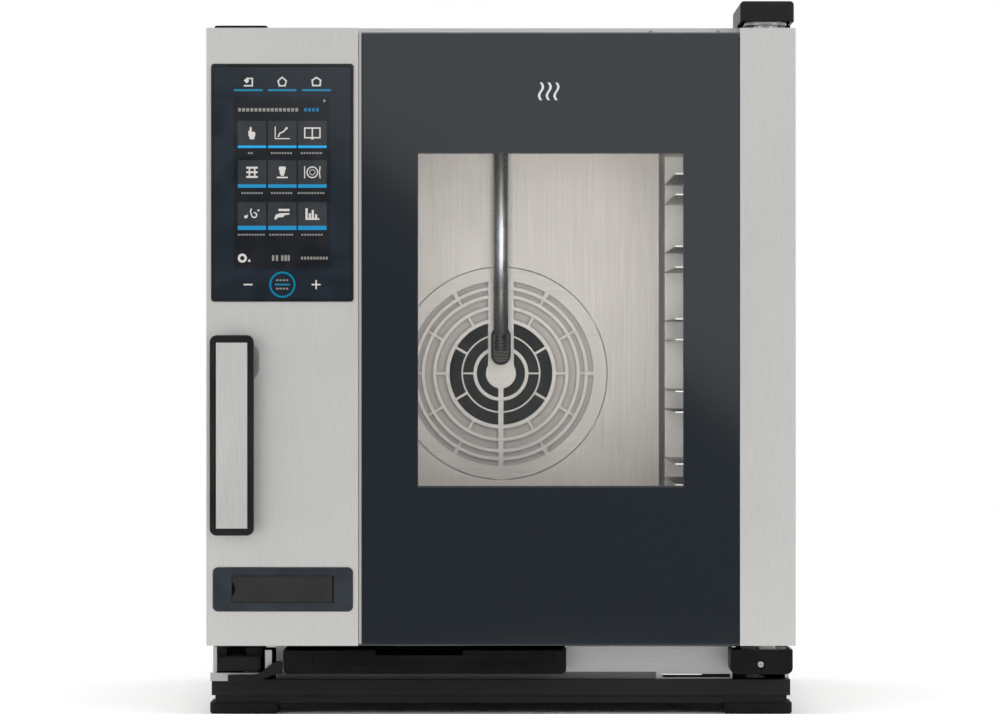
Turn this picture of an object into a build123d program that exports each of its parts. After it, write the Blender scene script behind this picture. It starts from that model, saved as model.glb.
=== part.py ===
from build123d import *
import math
import os

os.makedirs("parts", exist_ok=True)

# ---------------------------------------------------------------------------
# Sizes in millimetres. +Z is up, the door faces -Y, the origin is on the
# floor under the middle of the oven.
# ---------------------------------------------------------------------------

# Overall envelope: across the door, handle to rear spigots, floor to hinge cover.
width = 535.0
depth = 662.0
height = 649.0

# Stack of levels above the floor.
foot_height = 10.0
rail_height = 21.3
plinth_height = 29.7
hinge_rise = 21.0

# Stack of depths from the handle to the back.
handle_reach = 36.0
door_depth = 60.0
door_gap = 4.0
rear_reach = 19.0

# Sheet and clearances.
sheet = 1.2
heavy_sheet = 1.5
running_gap = 0.05
loose_gap = 0.3
cabinet_inset = 3.5

# Wall bays between the cabinet skin and the cooking cavity.
side_bay = 80.0
floor_bay = 69.0
roof_bay = 83.0
machine_bay = 90.0
insulation_thickness = 30.0
fan_chamber = 55.0

# Door faces.
left_column_width = 138.0
right_column_width = 50.7
column_gap = 3.3
glass_gap = 0.5
right_column_depth = 38.0
door_lift = 3.2
door_drop = 3.4
glass_drop = 4.1
glass_thickness = 5.0
window_side_margin = 51.0
window_top_margin = 110.0
window_bottom_margin = 145.0

# Tray levels.
rack_pitch = 67.0
first_level = 78.7
top_clear = 60.0
tray_width = 354.0
channel_height = 18.0
channel_grip = 16.0

# Fan, its guard and the steam tube in front of it.
fan_rise = 180.0
fan_radius = 95.0
guard_radius = 104.2
guard_seam = 0.8
shaft_radius = 6.0
blade_count = 8
steam_tube_radius = 7.4
steam_tube_standoff = 12.0

# Door hinge.
hinge_inset = 26.5
hinge_setback = 26.0
hinge_pin_radius = 5.0
bush_wall = 3.0

# Controls on the left column.
panel_width = 129.2
panel_height = 215.7
panel_drop = 32.7
panel_side = 4.7
panel_proud = 3.2
panel_rim = 2.6
display_width = 91.0
display_height = 160.0

# Turning handle and latch.
handle_width = 39.7
handle_length = 180.6
handle_side = 5.1
handle_lift = 101.0
handle_thickness = 12.0
handle_rim = 5.3
hub_drop = 23.9
hub_radius = 12.0
handle_turn = 30.0
crank_length = 20.0
bolt_travel = 11.0
crank_pin_radius = 2.5
crank_play = 0.8

# Service port under the handle.
port_width = 127.3
port_height = 40.3
port_lift = 31.1
port_side = 6.1
port_proud = 2.5
port_body_inset = 4.5
flap_width = 91.5
flap_height = 23.6
flap_thickness = 2.5
barrel_radius = 1.9
trunnion_radius = 0.8

# Drip tray under the door, and the apron zone that it shares with the covers.
apron_drop = 22.7
tray_setback = 7.0
tray_left = 69.8
tray_length = 256.7
tray_depth = 98.0
tray_height = 21.2
tray_wall = 2.5

# Services at the back.
exhaust_radius = 19.0
exhaust_wall = 1.5
drain_radius = 16.0
drain_wall = 2.0
water_inlet_radius = 13.2
cooling_fan_size = 80.0
cooling_fan_depth = 25.0
cooling_blades = 7

# ---------------------------------------------------------------------------
# Places worked out from the sizes.
# ---------------------------------------------------------------------------

half = width / 2
cabinet_half = half - cabinet_inset
rail_top = foot_height + rail_height
cabinet_bottom = rail_top + plinth_height
cabinet_top = height - hinge_rise

handle_front = -depth / 2
door_front = handle_front + handle_reach
door_back = door_front + door_depth
cabinet_front = door_back + door_gap
panel_back = depth / 2 - rear_reach
panel_inside = panel_back - sheet
frame_back = cabinet_front + heavy_sheet

door_bottom = cabinet_bottom + door_lift
door_top = cabinet_top - door_drop
glass_top = door_top - glass_drop
column_left = -half
column_right = column_left + left_column_width
glass_left = column_right + column_gap
right_column_left = half - right_column_width
glass_right = right_column_left - glass_gap
glass_back = door_front + heavy_sheet - 1.0 + glass_thickness

cavity_half = cabinet_half - side_bay
cavity_bottom = cabinet_bottom + floor_bay
cavity_top = cabinet_top - roof_bay
cavity_back = panel_back - 2 - machine_bay - insulation_thickness
cavity_height = cavity_top - cavity_bottom
liner_half = cavity_half + sheet
liner_back = cavity_back + sheet
baffle_front = cavity_back - fan_chamber
baffle_back = baffle_front + heavy_sheet
wool_back = liner_back + insulation_thickness
wool_half = cavity_half + insulation_thickness + 2

fan_z = cavity_bottom + fan_rise
level_count = int((cavity_height - first_level - top_clear) // rack_pitch) + 1
levels = [cavity_bottom + first_level + rack_pitch * step for step in range(level_count)]

hinge_x = half - hinge_inset
hinge_y = door_front + hinge_setback
hub_x = column_left + handle_side + handle_width / 2 + 4
handle_bottom = door_bottom + handle_lift
handle_top = handle_bottom + handle_length
hub_z = handle_top - hub_drop
crank_z = hub_z - crank_length

exhaust_x = -(cavity_half - 70)
exhaust_z = cavity_top - 45
damper_y = wool_back + 44
drain_z = cabinet_bottom + 20
water_x = -(cabinet_half - 64)
water_z = cabinet_bottom + 49
gland_x = -(cabinet_half - 24)
gland_z = cabinet_bottom + 49
cooling_x = cabinet_half - 74
cooling_z = cabinet_bottom + 139


# ---------------------------------------------------------------------------
# Shapes used by many pieces.
# ---------------------------------------------------------------------------

def block(x, y, z, mode=Mode.ADD):
    """Add or cut a box between two x, two y and two z limits."""
    middle = ((x[0] + x[1]) / 2, (y[0] + y[1]) / 2, (z[0] + z[1]) / 2)
    with Locations(middle):
        Box(x[1] - x[0], y[1] - y[0], z[1] - z[0], mode=mode)


def rod(start, end, radius, mode=Mode.ADD):
    """Add or cut a round bar from one point to another."""
    run = Vector(*end) - Vector(*start)
    with Locations(Plane(origin=start, z_dir=run)):
        Cylinder(radius, run.length, align=(Align.CENTER, Align.CENTER, Align.MIN), mode=mode)


def facing(y):
    """Plane that looks to the front from depth y, with +X right and +Z up."""
    return Plane.XZ.offset(-y)


def rounded(x, z, radius, mode=Mode.ADD):
    """Sketch a rounded rectangle between two x and two z limits, on a front plane."""
    with Locations(((x[0] + x[1]) / 2, (z[0] + z[1]) / 2)):
        RectangleRounded(x[1] - x[0], z[1] - z[0], radius, mode=mode)


def save(piece, label):
    """Name a finished piece and write it out."""
    piece.part.label = label
    export_step(piece.part, f"parts/{label}.step")


# ---------------------------------------------------------------------------
# Base: feet, frame, pan and plinth.
# ---------------------------------------------------------------------------

foot_size = 62.0
foot_inset = 1.5
rail_front = cabinet_front - 24
rail_wall = 22.0
foot_x = half - foot_inset - foot_size / 2
foot_y = (rail_front + foot_size / 2, panel_back - foot_size / 2)

with BuildPart() as feet:
    with BuildSketch(Plane.XY):
        with Locations(*[(side * foot_x, y) for side in (-1, 1) for y in foot_y]):
            RectangleRounded(foot_size, foot_size, 4)
    extrude(amount=foot_height)
    chamfer(feet.edges().group_by(Axis.Z)[0], 1.5)
save(feet, "feet")

rail_step = 7.0
post_size = 22.0
post_setback = 50.0
post_half = cabinet_half - 4
frame_half = half - 3.1

with BuildPart() as base_frame:
    block((-frame_half, frame_half), (rail_front, panel_back), (foot_height + rail_step, rail_top))
    block(
        (-frame_half + 3, frame_half - 3),
        (rail_front + 5, panel_back - 3),
        (foot_height, foot_height + rail_step),
    )
    block(
        (-frame_half + rail_wall, frame_half - rail_wall),
        (rail_front + rail_wall + 8, panel_back - rail_wall),
        (foot_height, rail_top),
        mode=Mode.SUBTRACT,
    )
    for side in (-1, 1):
        post_x = sorted((side * post_half, side * (post_half - post_size)))
        block(post_x, (frame_back + post_setback, frame_back + post_setback + post_size),
              (rail_top, cabinet_bottom))
        block(post_x, (panel_inside - 2 - post_size, panel_inside - 2), (rail_top, cabinet_bottom))
save(base_frame, "base_frame")

drain_y = cabinet_front + 190

with BuildPart() as base_pan:
    block(
        (-cabinet_half + sheet + 0.3, cabinet_half - sheet - 0.3),
        (frame_back + 0.3, panel_inside - 0.3),
        (cabinet_bottom, cabinet_bottom + sheet),
    )
    with BuildSketch(Plane.XY.offset(cabinet_bottom)):
        with Locations((cooling_x, cooling_x - 60)):
            with GridLocations(0, 12, 1, 6):
                SlotOverall(60, 5)
    extrude(amount=sheet, mode=Mode.SUBTRACT)
save(base_pan, "base_pan")

tray_x = (-half + tray_left, -half + tray_left + tray_length)
tray_z = (cabinet_bottom - apron_drop, cabinet_bottom - apron_drop + tray_height)
tray_front = door_front + tray_setback
plinth_y = cabinet_front - 9
plinth_x = (-half + 61.5, half - 55.5)
air_slot = 62.0

with BuildPart() as plinth_front:
    block(plinth_x, (plinth_y, plinth_y + sheet), (rail_top, cabinet_bottom))
    block(plinth_x, (plinth_y, frame_back + 12), (cabinet_bottom - sheet, cabinet_bottom))
    block(plinth_x, (plinth_y, plinth_y + 40), (rail_top, rail_top + sheet))
    block(
        (tray_x[0] - 1, tray_x[1] + 1),
        (plinth_y, plinth_y + tray_depth - 45),
        (tray_z[0] - 1.5, tray_z[0] - 0.3),
    )
    block(
        (tray_x[0] - 0.8, tray_x[1] + 0.8),
        (plinth_y - 1, frame_back + 20),
        (tray_z[0] - 0.3, cabinet_bottom + 1),
        mode=Mode.SUBTRACT,
    )
    for end in (plinth_x[0] + 2, plinth_x[1] - 2 - air_slot):
        block((end, end + air_slot), (plinth_y - 1, plinth_y + sheet + 1),
              (rail_top + sheet, rail_top + 4.4), mode=Mode.SUBTRACT)
save(plinth_front, "plinth_front")

with BuildPart() as drip_tray:
    with BuildSketch(facing(tray_front)):
        rounded(tray_x, (tray_z[0], tray_z[1] + 10), 4.5)
        with Locations((sum(tray_x) / 2, tray_z[1] + 10)):
            Rectangle(tray_length, 20, mode=Mode.SUBTRACT)
    extrude(amount=-tray_depth)
    block(
        (tray_x[0] + tray_wall, tray_x[1] - tray_wall),
        (tray_front + tray_wall + 2, tray_front + tray_depth - tray_wall),
        (tray_z[0] + tray_wall, tray_z[1] + 1),
        mode=Mode.SUBTRACT,
    )
    block((tray_x[0] + 26, tray_x[1] - 9.7), (tray_front - 1, tray_front + 1.5),
          (tray_z[0] + 8.6, tray_z[1] + 1), mode=Mode.SUBTRACT)
    block((tray_x[0] + 83.7, tray_x[1] - 93.5), (tray_front - 1, tray_front + tray_wall + 3),
          (tray_z[1] - 4.5, tray_z[1] + 1), mode=Mode.SUBTRACT)
save(drip_tray, "drip_tray")

# ---------------------------------------------------------------------------
# Cooking cavity: liner, insulation, front frame and seal.
# ---------------------------------------------------------------------------

heater_radius = 110.0
heater_tube = 3.2
heater_leg = 12.0
heater_z = fan_z + math.sqrt(heater_radius**2 - heater_leg**2)
leg_spots = [(side * heater_leg, heater_z) for side in (-1, 1)]


def rear_passages(y, play):
    """Cut the holes that the shaft, heater legs and exhaust take through the rear walls."""
    rod((0, y[0], fan_z), (0, y[1], fan_z), shaft_radius + 3 + play, mode=Mode.SUBTRACT)
    rod((exhaust_x, y[0], exhaust_z), (exhaust_x, y[1], exhaust_z),
        exhaust_radius + play, mode=Mode.SUBTRACT)
    for x, z in leg_spots:
        rod((x, y[0], z), (x, y[1], z), heater_tube + play, mode=Mode.SUBTRACT)


with BuildPart() as cavity_liner:
    block((-liner_half, liner_half), (frame_back, liner_back),
          (cavity_bottom - sheet, cavity_top + sheet))
    block((-cavity_half, cavity_half), (frame_back - 1, cavity_back),
          (cavity_bottom, cavity_top), mode=Mode.SUBTRACT)
    rear_passages((cavity_back - 1, liner_back + 1), 0.2)
    rod((0, drain_y, cavity_bottom - 5), (0, drain_y, cavity_bottom + 5),
        drain_radius + 0.2, mode=Mode.SUBTRACT)
    fillet(cavity_liner.edges().filter_by(Axis.Y).filter_by(
        lambda edge: edge.length > cavity_half and abs(edge.center().X) < liner_half - 0.5), 8)
save(cavity_liner, "cavity_liner")

with BuildPart() as cavity_insulation:
    block((-wool_half, wool_half), (frame_back + 6, wool_back),
          (cavity_bottom - insulation_thickness, cavity_top + insulation_thickness))
    block((-liner_half - 0.2, liner_half + 0.2), (frame_back, liner_back + 0.2),
          (cavity_bottom - sheet - 0.2, cavity_top + sheet + 0.2), mode=Mode.SUBTRACT)
    rear_passages((liner_back - 1, wool_back + 1), 0.6)
    rod((0, drain_y, cavity_bottom - insulation_thickness - 1), (0, drain_y, cavity_bottom),
        drain_radius + 0.6, mode=Mode.SUBTRACT)
save(cavity_insulation, "cavity_insulation")

return_depth = 14.0
frame_screw_radius = 1.6
frame_screw_x = [column_left + 11.5, column_left + 73.1, column_left + 135,
                 half - 130, half - 68.1]

with BuildPart() as front_frame:
    with BuildSketch(facing(cabinet_front)):
        rounded((-cabinet_half, cabinet_half), (cabinet_bottom, cabinet_top), 2)
        rounded((-cavity_half, cavity_half), (cavity_bottom, cavity_top), 8, Mode.SUBTRACT)
    extrude(amount=-heavy_sheet)
    inner = cabinet_half - sheet - 0.3
    with BuildSketch(facing(frame_back)):
        rounded((-inner, inner), (cabinet_bottom + sheet + 0.3, cabinet_top - sheet - 0.3), 2)
        rounded((-inner + sheet, inner - sheet),
                (cabinet_bottom + 2 * sheet + 0.3, cabinet_top - 2 * sheet - 0.3), 1, Mode.SUBTRACT)
    extrude(amount=-return_depth)
save(front_frame, "front_frame")

seal_inset = 7.0
seal_width = 13.0
seal_depth = door_gap - loose_gap

with BuildPart() as door_seal:
    with BuildSketch(facing(cabinet_front)):
        seal_reach = seal_inset + seal_width
        rounded((-cavity_half - seal_reach, cavity_half + seal_reach),
                (cavity_bottom - seal_reach, cavity_top + seal_reach), 22)
        rounded((-cavity_half - seal_inset, cavity_half + seal_inset),
                (cavity_bottom - seal_inset, cavity_top + seal_inset), 12, Mode.SUBTRACT)
    extrude(amount=seal_depth)
    chamfer(door_seal.edges().group_by(Axis.Y)[0], 1.2)
save(door_seal, "door_seal")

# ---------------------------------------------------------------------------
# Outer panels.
# ---------------------------------------------------------------------------

for side, label in ((-1, "left_side_panel"), (1, "right_side_panel")):
    with BuildPart() as side_panel:
        skin_x = sorted((side * cabinet_half, side * (cabinet_half - sheet)))
        lip = sorted((side * cabinet_half, side * (cabinet_half - 3.5)))
        block(skin_x, (frame_back, panel_inside), (rail_top + 0.5, cabinet_top - sheet))
        block(lip, (plinth_y + 2, plinth_y + 2 + sheet), (rail_top + 0.5, cabinet_bottom - 0.5))
        block(skin_x, (plinth_y + 2, frame_back), (rail_top + 0.5, cabinet_bottom - 0.5))
    save(side_panel, label)

with BuildPart() as top_panel:
    block((-cabinet_half, cabinet_half), (frame_back, panel_back), (cabinet_top - sheet, cabinet_top))
    fillet(top_panel.edges().filter_by(Axis.Y).group_by(Axis.Z)[-1], 0.8)
save(top_panel, "top_panel")

louvre_rows = 9
louvre_pitch = 14.0
louvre_length = 150.0
louvre_z = cabinet_top - 250

with BuildPart() as back_panel:
    block((-cabinet_half, cabinet_half), (panel_inside, panel_back), (rail_top + 0.5, cabinet_top - sheet))
    back_cut = (panel_inside - 1, panel_back + 1)
    rod((exhaust_x, back_cut[0], exhaust_z), (exhaust_x, back_cut[1], exhaust_z),
        exhaust_radius + loose_gap, mode=Mode.SUBTRACT)
    rod((0, back_cut[0], drain_z), (0, back_cut[1], drain_z), drain_radius + loose_gap, mode=Mode.SUBTRACT)
    rod((water_x, back_cut[0], water_z), (water_x, back_cut[1], water_z),
        water_inlet_radius + loose_gap, mode=Mode.SUBTRACT)
    rod((gland_x, back_cut[0], gland_z), (gland_x, back_cut[1], gland_z), 9 + loose_gap, mode=Mode.SUBTRACT)
    with BuildSketch(facing(panel_back)):
        with Locations((cavity_half - 70, louvre_z)):
            with GridLocations(0, louvre_pitch, 1, louvre_rows):
                SlotOverall(louvre_length, 5)
        with Locations((cooling_x, cooling_z)):
            with PolarLocations(28, 10):
                SlotOverall(20, 6)
            with PolarLocations(13, 6):
                Circle(3)
    extrude(amount=sheet, mode=Mode.SUBTRACT)
save(back_panel, "back_panel")

# ---------------------------------------------------------------------------
# Hinges: brackets and pins on the cabinet, covers over them.
# ---------------------------------------------------------------------------

bracket_thickness = 3.5
arm_height = 24.0
arm_half = 10.5
upper_arm = (door_top - 6.6 - arm_height, door_top - 6.6)
lower_arm = (door_bottom + 3.8, door_bottom + 3.8 + arm_height)
bracket_half = 19.0
bracket_tail = 70.0
bracket_x = (hinge_x - bracket_half, hinge_x + bracket_half)
pin_head_radius = 8.0
pin_head_height = 4.0
cover_x = (half - 50.5, half - 1.8)
cover_front = door_front + 2
cover_tail = cabinet_front + 95
cover_wall = 2.5
lower_cover_x = (half - 59.5, half - 2.8)
lower_cover_z = (cabinet_bottom - apron_drop, cabinet_bottom - 0.6)
lower_plate = (lower_cover_z[1] - bracket_thickness, lower_cover_z[1])

with BuildPart() as upper_hinge_bracket:
    with BuildSketch(Plane.XY.offset(cabinet_top)):
        with Locations((hinge_x, (hinge_y + cabinet_front + bracket_tail) / 2)):
            Rectangle(2 * bracket_half, cabinet_front + bracket_tail - hinge_y)
        with Locations((hinge_x, hinge_y)):
            Circle(bracket_half)
            Circle(hinge_pin_radius, mode=Mode.SUBTRACT)
    extrude(amount=bracket_thickness)
    rod((hinge_x, hinge_y, door_top + 0.2), (hinge_x, hinge_y, cabinet_top), 11)
    rod((hinge_x, hinge_y, door_top), (hinge_x, hinge_y, cabinet_top + 9), hinge_pin_radius,
        mode=Mode.SUBTRACT)
save(upper_hinge_bracket, "upper_hinge_bracket")

with BuildPart() as lower_hinge_bracket:
    block(bracket_x, (hinge_y, frame_back + 45), lower_plate)
    rod((hinge_x, hinge_y, lower_plate[0]), (hinge_x, hinge_y, lower_plate[1]), bracket_half)
    rod((hinge_x, hinge_y, lower_plate[1]), (hinge_x, hinge_y, door_bottom - 0.2), 9)
    rod((hinge_x, hinge_y, lower_plate[0] - 1), (hinge_x, hinge_y, door_bottom), hinge_pin_radius,
        mode=Mode.SUBTRACT)
save(lower_hinge_bracket, "lower_hinge_bracket")

with BuildPart() as hinge_pins:
    rod((hinge_x, hinge_y, upper_arm[0] + 1), (hinge_x, hinge_y, cabinet_top + bracket_thickness),
        hinge_pin_radius)
    rod((hinge_x, hinge_y, cabinet_top + bracket_thickness),
        (hinge_x, hinge_y, cabinet_top + bracket_thickness + pin_head_height), pin_head_radius)
    rod((hinge_x, hinge_y, lower_plate[0]), (hinge_x, hinge_y, lower_arm[1] - 1), hinge_pin_radius)
    rod((hinge_x, hinge_y, lower_plate[0] - pin_head_height), (hinge_x, hinge_y, lower_plate[0]),
        pin_head_radius)
save(hinge_pins, "hinge_pins")

with BuildPart() as upper_hinge_cover:
    cover_z = (cabinet_top + 2.4, height)
    block(cover_x, (cover_front, cover_tail), cover_z)
    block(cover_x, (frame_back, cover_tail), (cabinet_top, cover_z[1]))
    fillet(upper_hinge_cover.edges().filter_by(Axis.Y).group_by(Axis.Z)[-1], 3.5)
    chamfer(upper_hinge_cover.faces().sort_by(Axis.Y)[0].edges(), 1.2)
    block((cover_x[0] + cover_wall, cover_x[1] - cover_wall),
          (cover_front + cover_wall, cover_tail - cover_wall),
          (cabinet_top - 1, height - cover_wall), mode=Mode.SUBTRACT)
save(upper_hinge_cover, "upper_hinge_cover")

cover_screw_x = hinge_x - 5.3
cover_screw_z = lower_cover_z[0] + 8.9

with BuildPart() as lower_hinge_cover:
    with BuildSketch(facing(cover_front)):
        block_z = (lower_cover_z[0], lower_cover_z[1] + 10)
        rounded(lower_cover_x, block_z, 6)
        with Locations((sum(lower_cover_x) / 2, lower_cover_z[1] + 10)):
            Rectangle(lower_cover_x[1] - lower_cover_x[0], 20, mode=Mode.SUBTRACT)
    extrude(amount=-(plinth_y - 0.5 - cover_front))
    block((lower_cover_x[0] + cover_wall, lower_cover_x[1] - cover_wall),
          (cover_front + cover_wall, plinth_y + 1),
          (lower_cover_z[0] + cover_wall, lower_cover_z[1] + 1), mode=Mode.SUBTRACT)
    rod((cover_screw_x, cover_front, cover_screw_z), (cover_screw_x, cover_front + 7, cover_screw_z), 6.5)
    rod((cover_screw_x, cover_front - 1, cover_screw_z), (cover_screw_x, cover_front + 3, cover_screw_z),
        4.4, mode=Mode.SUBTRACT)
save(lower_hinge_cover, "lower_hinge_cover")

cap_rise = 2.8

with BuildPart() as left_hinge_cap:
    with BuildSketch(Plane.XY.offset(cabinet_top)):
        with Locations((column_left + 28.4, frame_back + 40)):
            RectangleRounded(48.6, 76, 5)
    extrude(amount=cap_rise)
    fillet(left_hinge_cap.edges().group_by(Axis.Z)[-1], 1.4)
save(left_hinge_cap, "left_hinge_cap")

mount_x = (column_left + 9.5, column_left + 47.5)

with BuildPart() as left_lower_mount:
    block(mount_x, (plinth_y - 42, plinth_y + 1), (cabinet_bottom - 20.4, cabinet_bottom - 7))
    for arm_x in ((mount_x[0], mount_x[0] + 8), (mount_x[1] - 12, mount_x[1])):
        block(arm_x, (plinth_y - 30, frame_back + 30), (cabinet_bottom - 7, cabinet_bottom - 0.2))
    chamfer(left_lower_mount.faces().sort_by(Axis.Y)[0].edges(), 1)
save(left_lower_mount, "left_lower_mount")

# ---------------------------------------------------------------------------
# Air system inside the cavity.
# ---------------------------------------------------------------------------

baffle_half = cavity_half - 28.5
baffle_z = (cavity_bottom + 6, cavity_top - 6)
tube_y = baffle_front - steam_tube_standoff
land_half = 12.6

with BuildPart() as air_baffle:
    with BuildSketch(facing(baffle_front)):
        rounded((-baffle_half, baffle_half), baffle_z, 2)
        with Locations((0, fan_z)):
            Circle(guard_radius + guard_seam, mode=Mode.SUBTRACT)
    extrude(amount=-heavy_sheet)
    for side in (-1, 1):
        fold_x = sorted((side * baffle_half, side * (baffle_half - heavy_sheet)))
        block(fold_x, (baffle_back, cavity_back - 18), baffle_z)
        tab_x = sorted((side * (baffle_half - heavy_sheet), side * (baffle_half - 14)))
        for z in (baffle_z[0] + 20, baffle_z[1] - 40):
            block(tab_x, (cavity_back - 19.5, cavity_back - 18), (z, z + 20))
            rod((sum(tab_x) / 2, cavity_back - 18, z + 10), (sum(tab_x) / 2, cavity_back, z + 10), 4)
save(air_baffle, "air_baffle")

# Each ring of slots: inner radius, outer radius, spokes, angle of the first spoke, spoke width.
guard_slots = [
    (14.8, 23.8, 2, 90, 5.0),
    (27.1, 37.4, 4, 0, 1.6),
    (38.9, 50.7, 6, 30, 2.4),
    (54.4, 63.4, 6, 0, 2.4),
    (66.6, 74.6, 6, 30, 2.4),
    (77.8, 82.6, 12, 0, 2.0),
    (85.8, 91.2, 6, 0, 4.0),
]

# Round clips behind the guard's rim reach over the seam and hold it in the baffle.
clip_radius = 6.0
clip_circle = guard_radius + guard_seam - clip_radius / 2

with BuildPart() as fan_guard:
    with BuildSketch(facing(baffle_front)):
        with Locations((0, fan_z)):
            Circle(guard_radius)
    extrude(amount=-heavy_sheet)
    for inner_edge, outer_edge, spokes, first, spoke_width in guard_slots:
        with BuildSketch(facing(baffle_front)):
            with Locations((0, fan_z)):
                Circle(outer_edge)
                Circle(inner_edge, mode=Mode.SUBTRACT)
                with PolarLocations(outer_edge / 2, spokes, start_angle=first):
                    Rectangle(outer_edge * 1.04, spoke_width, mode=Mode.SUBTRACT)
            with Locations((0, fan_z - guard_radius / 2)):
                Rectangle(5, guard_radius, mode=Mode.SUBTRACT)
            with Locations((0, fan_z + guard_radius / 2)):
                Rectangle(2 * land_half, guard_radius, mode=Mode.SUBTRACT)
        extrude(amount=-heavy_sheet, mode=Mode.SUBTRACT)
    for angle in range(30, 390, 60):
        x = clip_circle * math.cos(math.radians(angle))
        z = fan_z + clip_circle * math.sin(math.radians(angle))
        rod((x, baffle_back, z), (x, baffle_back + 2, z), clip_radius)
save(fan_guard, "fan_guard")

wheel_front = baffle_back + 6.3
wheel_back = cavity_back - 8.5
wheel_inlet = 51.5
hub_front = wheel_front + 2

with BuildPart() as fan_wheel:
    rod((0, wheel_back - 1.5, fan_z), (0, wheel_back, fan_z), fan_radius)
    rod((0, hub_front, fan_z), (0, wheel_back, fan_z), 14)
    with BuildSketch(facing(wheel_front)):
        with Locations((0, fan_z)):
            Circle(fan_radius)
            Circle(wheel_inlet, mode=Mode.SUBTRACT)
            with PolarLocations(74, blade_count, start_angle=16.5):
                with BuildLine():
                    Polyline((-8, 0), (5.5, 3), (5.5, -3), close=True)
                make_face(mode=Mode.SUBTRACT)
    extrude(amount=-sheet)
    with Locations(Plane(origin=(0, wheel_front + sheet, fan_z), z_dir=(0, 1, 0))):
        with PolarLocations((fan_radius + 56) / 2, blade_count, start_angle=3):
            Box(fan_radius - 56, sheet, wheel_back - 1.5 - wheel_front - sheet,
                align=(Align.CENTER, Align.CENTER, Align.MIN))
    with BuildSketch(facing(wheel_front)):
        with Locations((0, fan_z)):
            Circle(shaft_radius)
    extrude(amount=-(wheel_back - wheel_front + 1), mode=Mode.SUBTRACT)
save(fan_wheel, "fan_wheel")

motor_front = wool_back + 3.5
motor_length = panel_inside - 6 - motor_front
motor_radius = 46.0
shaft_back = motor_front + 22

with BuildPart() as fan_shaft:
    rod((0, hub_front - 3, fan_z), (0, shaft_back, fan_z), shaft_radius)
    with BuildSketch(facing(hub_front)):
        with Locations((0, fan_z)):
            RegularPolygon(11, 6)
            Circle(shaft_radius, mode=Mode.SUBTRACT)
    extrude(amount=6)
save(fan_shaft, "fan_shaft")

with BuildPart() as fan_motor:
    block((-62, 62), (wool_back + 0.5, motor_front), (fan_z - 62, fan_z + 62))
    rod((0, motor_front, fan_z), (0, motor_front + motor_length, fan_z), motor_radius)
    fillet(fan_motor.edges().filter_by(GeomType.CIRCLE).group_by(Axis.Y)[-1], 5)
    with BuildSketch(facing(motor_front + 6)):
        with Locations((0, fan_z)):
            with PolarLocations(motor_radius, 24):
                Rectangle(5, 3)
    extrude(amount=-(motor_length - 18), mode=Mode.SUBTRACT)
    rod((0, wool_back, fan_z), (0, shaft_back + 1, fan_z), shaft_radius + running_gap, mode=Mode.SUBTRACT)
save(fan_motor, "fan_motor")

with BuildPart() as heating_element:
    heater_y = (baffle_back + 9, baffle_back + 29)
    for y in heater_y:
        with Locations(Plane(origin=(0, y, fan_z), z_dir=(0, 1, 0))):
            Torus(heater_radius, heater_tube)
    for x, z in leg_spots:
        rod((x, heater_y[0], z), (x, wool_back + 6, z), heater_tube - 0.4)
save(heating_element, "heating_element")

tube_top = cavity_top
holder_z = (fan_z + 8.2, fan_z + 46)
holder_half = 9.7

with BuildPart() as steam_tube:
    rod((0, tube_y, fan_z + 34), (0, tube_y, tube_top), steam_tube_radius)
    chamfer(steam_tube.edges().group_by(Axis.Z)[0], 3)
    rod((0, tube_y, fan_z + 30), (0, tube_y, tube_top + 1), steam_tube_radius - 1.5, mode=Mode.SUBTRACT)
save(steam_tube, "steam_tube")

with BuildPart() as steam_tube_holder:
    with BuildSketch(facing(baffle_front - 2)):
        rounded((-holder_half, holder_half), holder_z, holder_half - 0.1)
    extrude(amount=steam_tube_standoff + 2.5)
    fillet(steam_tube_holder.faces().sort_by(Axis.Y)[0].edges(), 3)
    with BuildSketch(facing(baffle_front)):
        rounded((-5, 5), (holder_z[0] + 6, holder_z[1] - 6), 4)
    extrude(amount=2)
    rod((0, tube_y, fan_z + 22), (0, tube_y, holder_z[1] + 1), steam_tube_radius, mode=Mode.SUBTRACT)
save(steam_tube_holder, "steam_tube_holder")

# ---------------------------------------------------------------------------
# Tray racks: one channel on each side for every level.
# ---------------------------------------------------------------------------

channel_y = (cabinet_front + 26, baffle_front - 10)
lip_x = tray_width / 2 - channel_grip
web_x = tray_width / 2 + 2.5
upright_z = (levels[0] - 40, levels[-1] + 46)

for side, label in ((-1, "left_rack"), (1, "right_rack")):
    with BuildPart() as rack:
        for z in levels:
            grip_x = sorted((side * lip_x, side * (web_x + sheet)))
            rear_web = sorted((side * web_x, side * (web_x + sheet)))
            block(grip_x, channel_y, (z - sheet, z))
            block(grip_x, channel_y, (z + channel_height, z + channel_height + sheet))
            block(rear_web, channel_y, (z - sheet, z + channel_height + sheet))
        for y in (channel_y[0] + 8, channel_y[1] - 20):
            post = sorted((side * (web_x + sheet), side * (web_x + 2 * sheet)))
            block(post, (y, y + 12), upright_z)
            for z in (upright_z[0] + 8, upright_z[1] - 8):
                rod((side * (web_x + 2 * sheet), y + 6, z), (side * cavity_half, y + 6, z), 3.5)
        stop_x = sorted((side * lip_x, side * (web_x + 2 * sheet)))
        block(stop_x, (channel_y[1], channel_y[1] + sheet), upright_z)
    save(rack, label)

# ---------------------------------------------------------------------------
# Services around the cavity and in the rear bay.
# ---------------------------------------------------------------------------

spigot_y = depth / 2
spigot_foot = panel_back + 1
neck = 0.5
drain_inside = drain_radius - drain_wall

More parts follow.
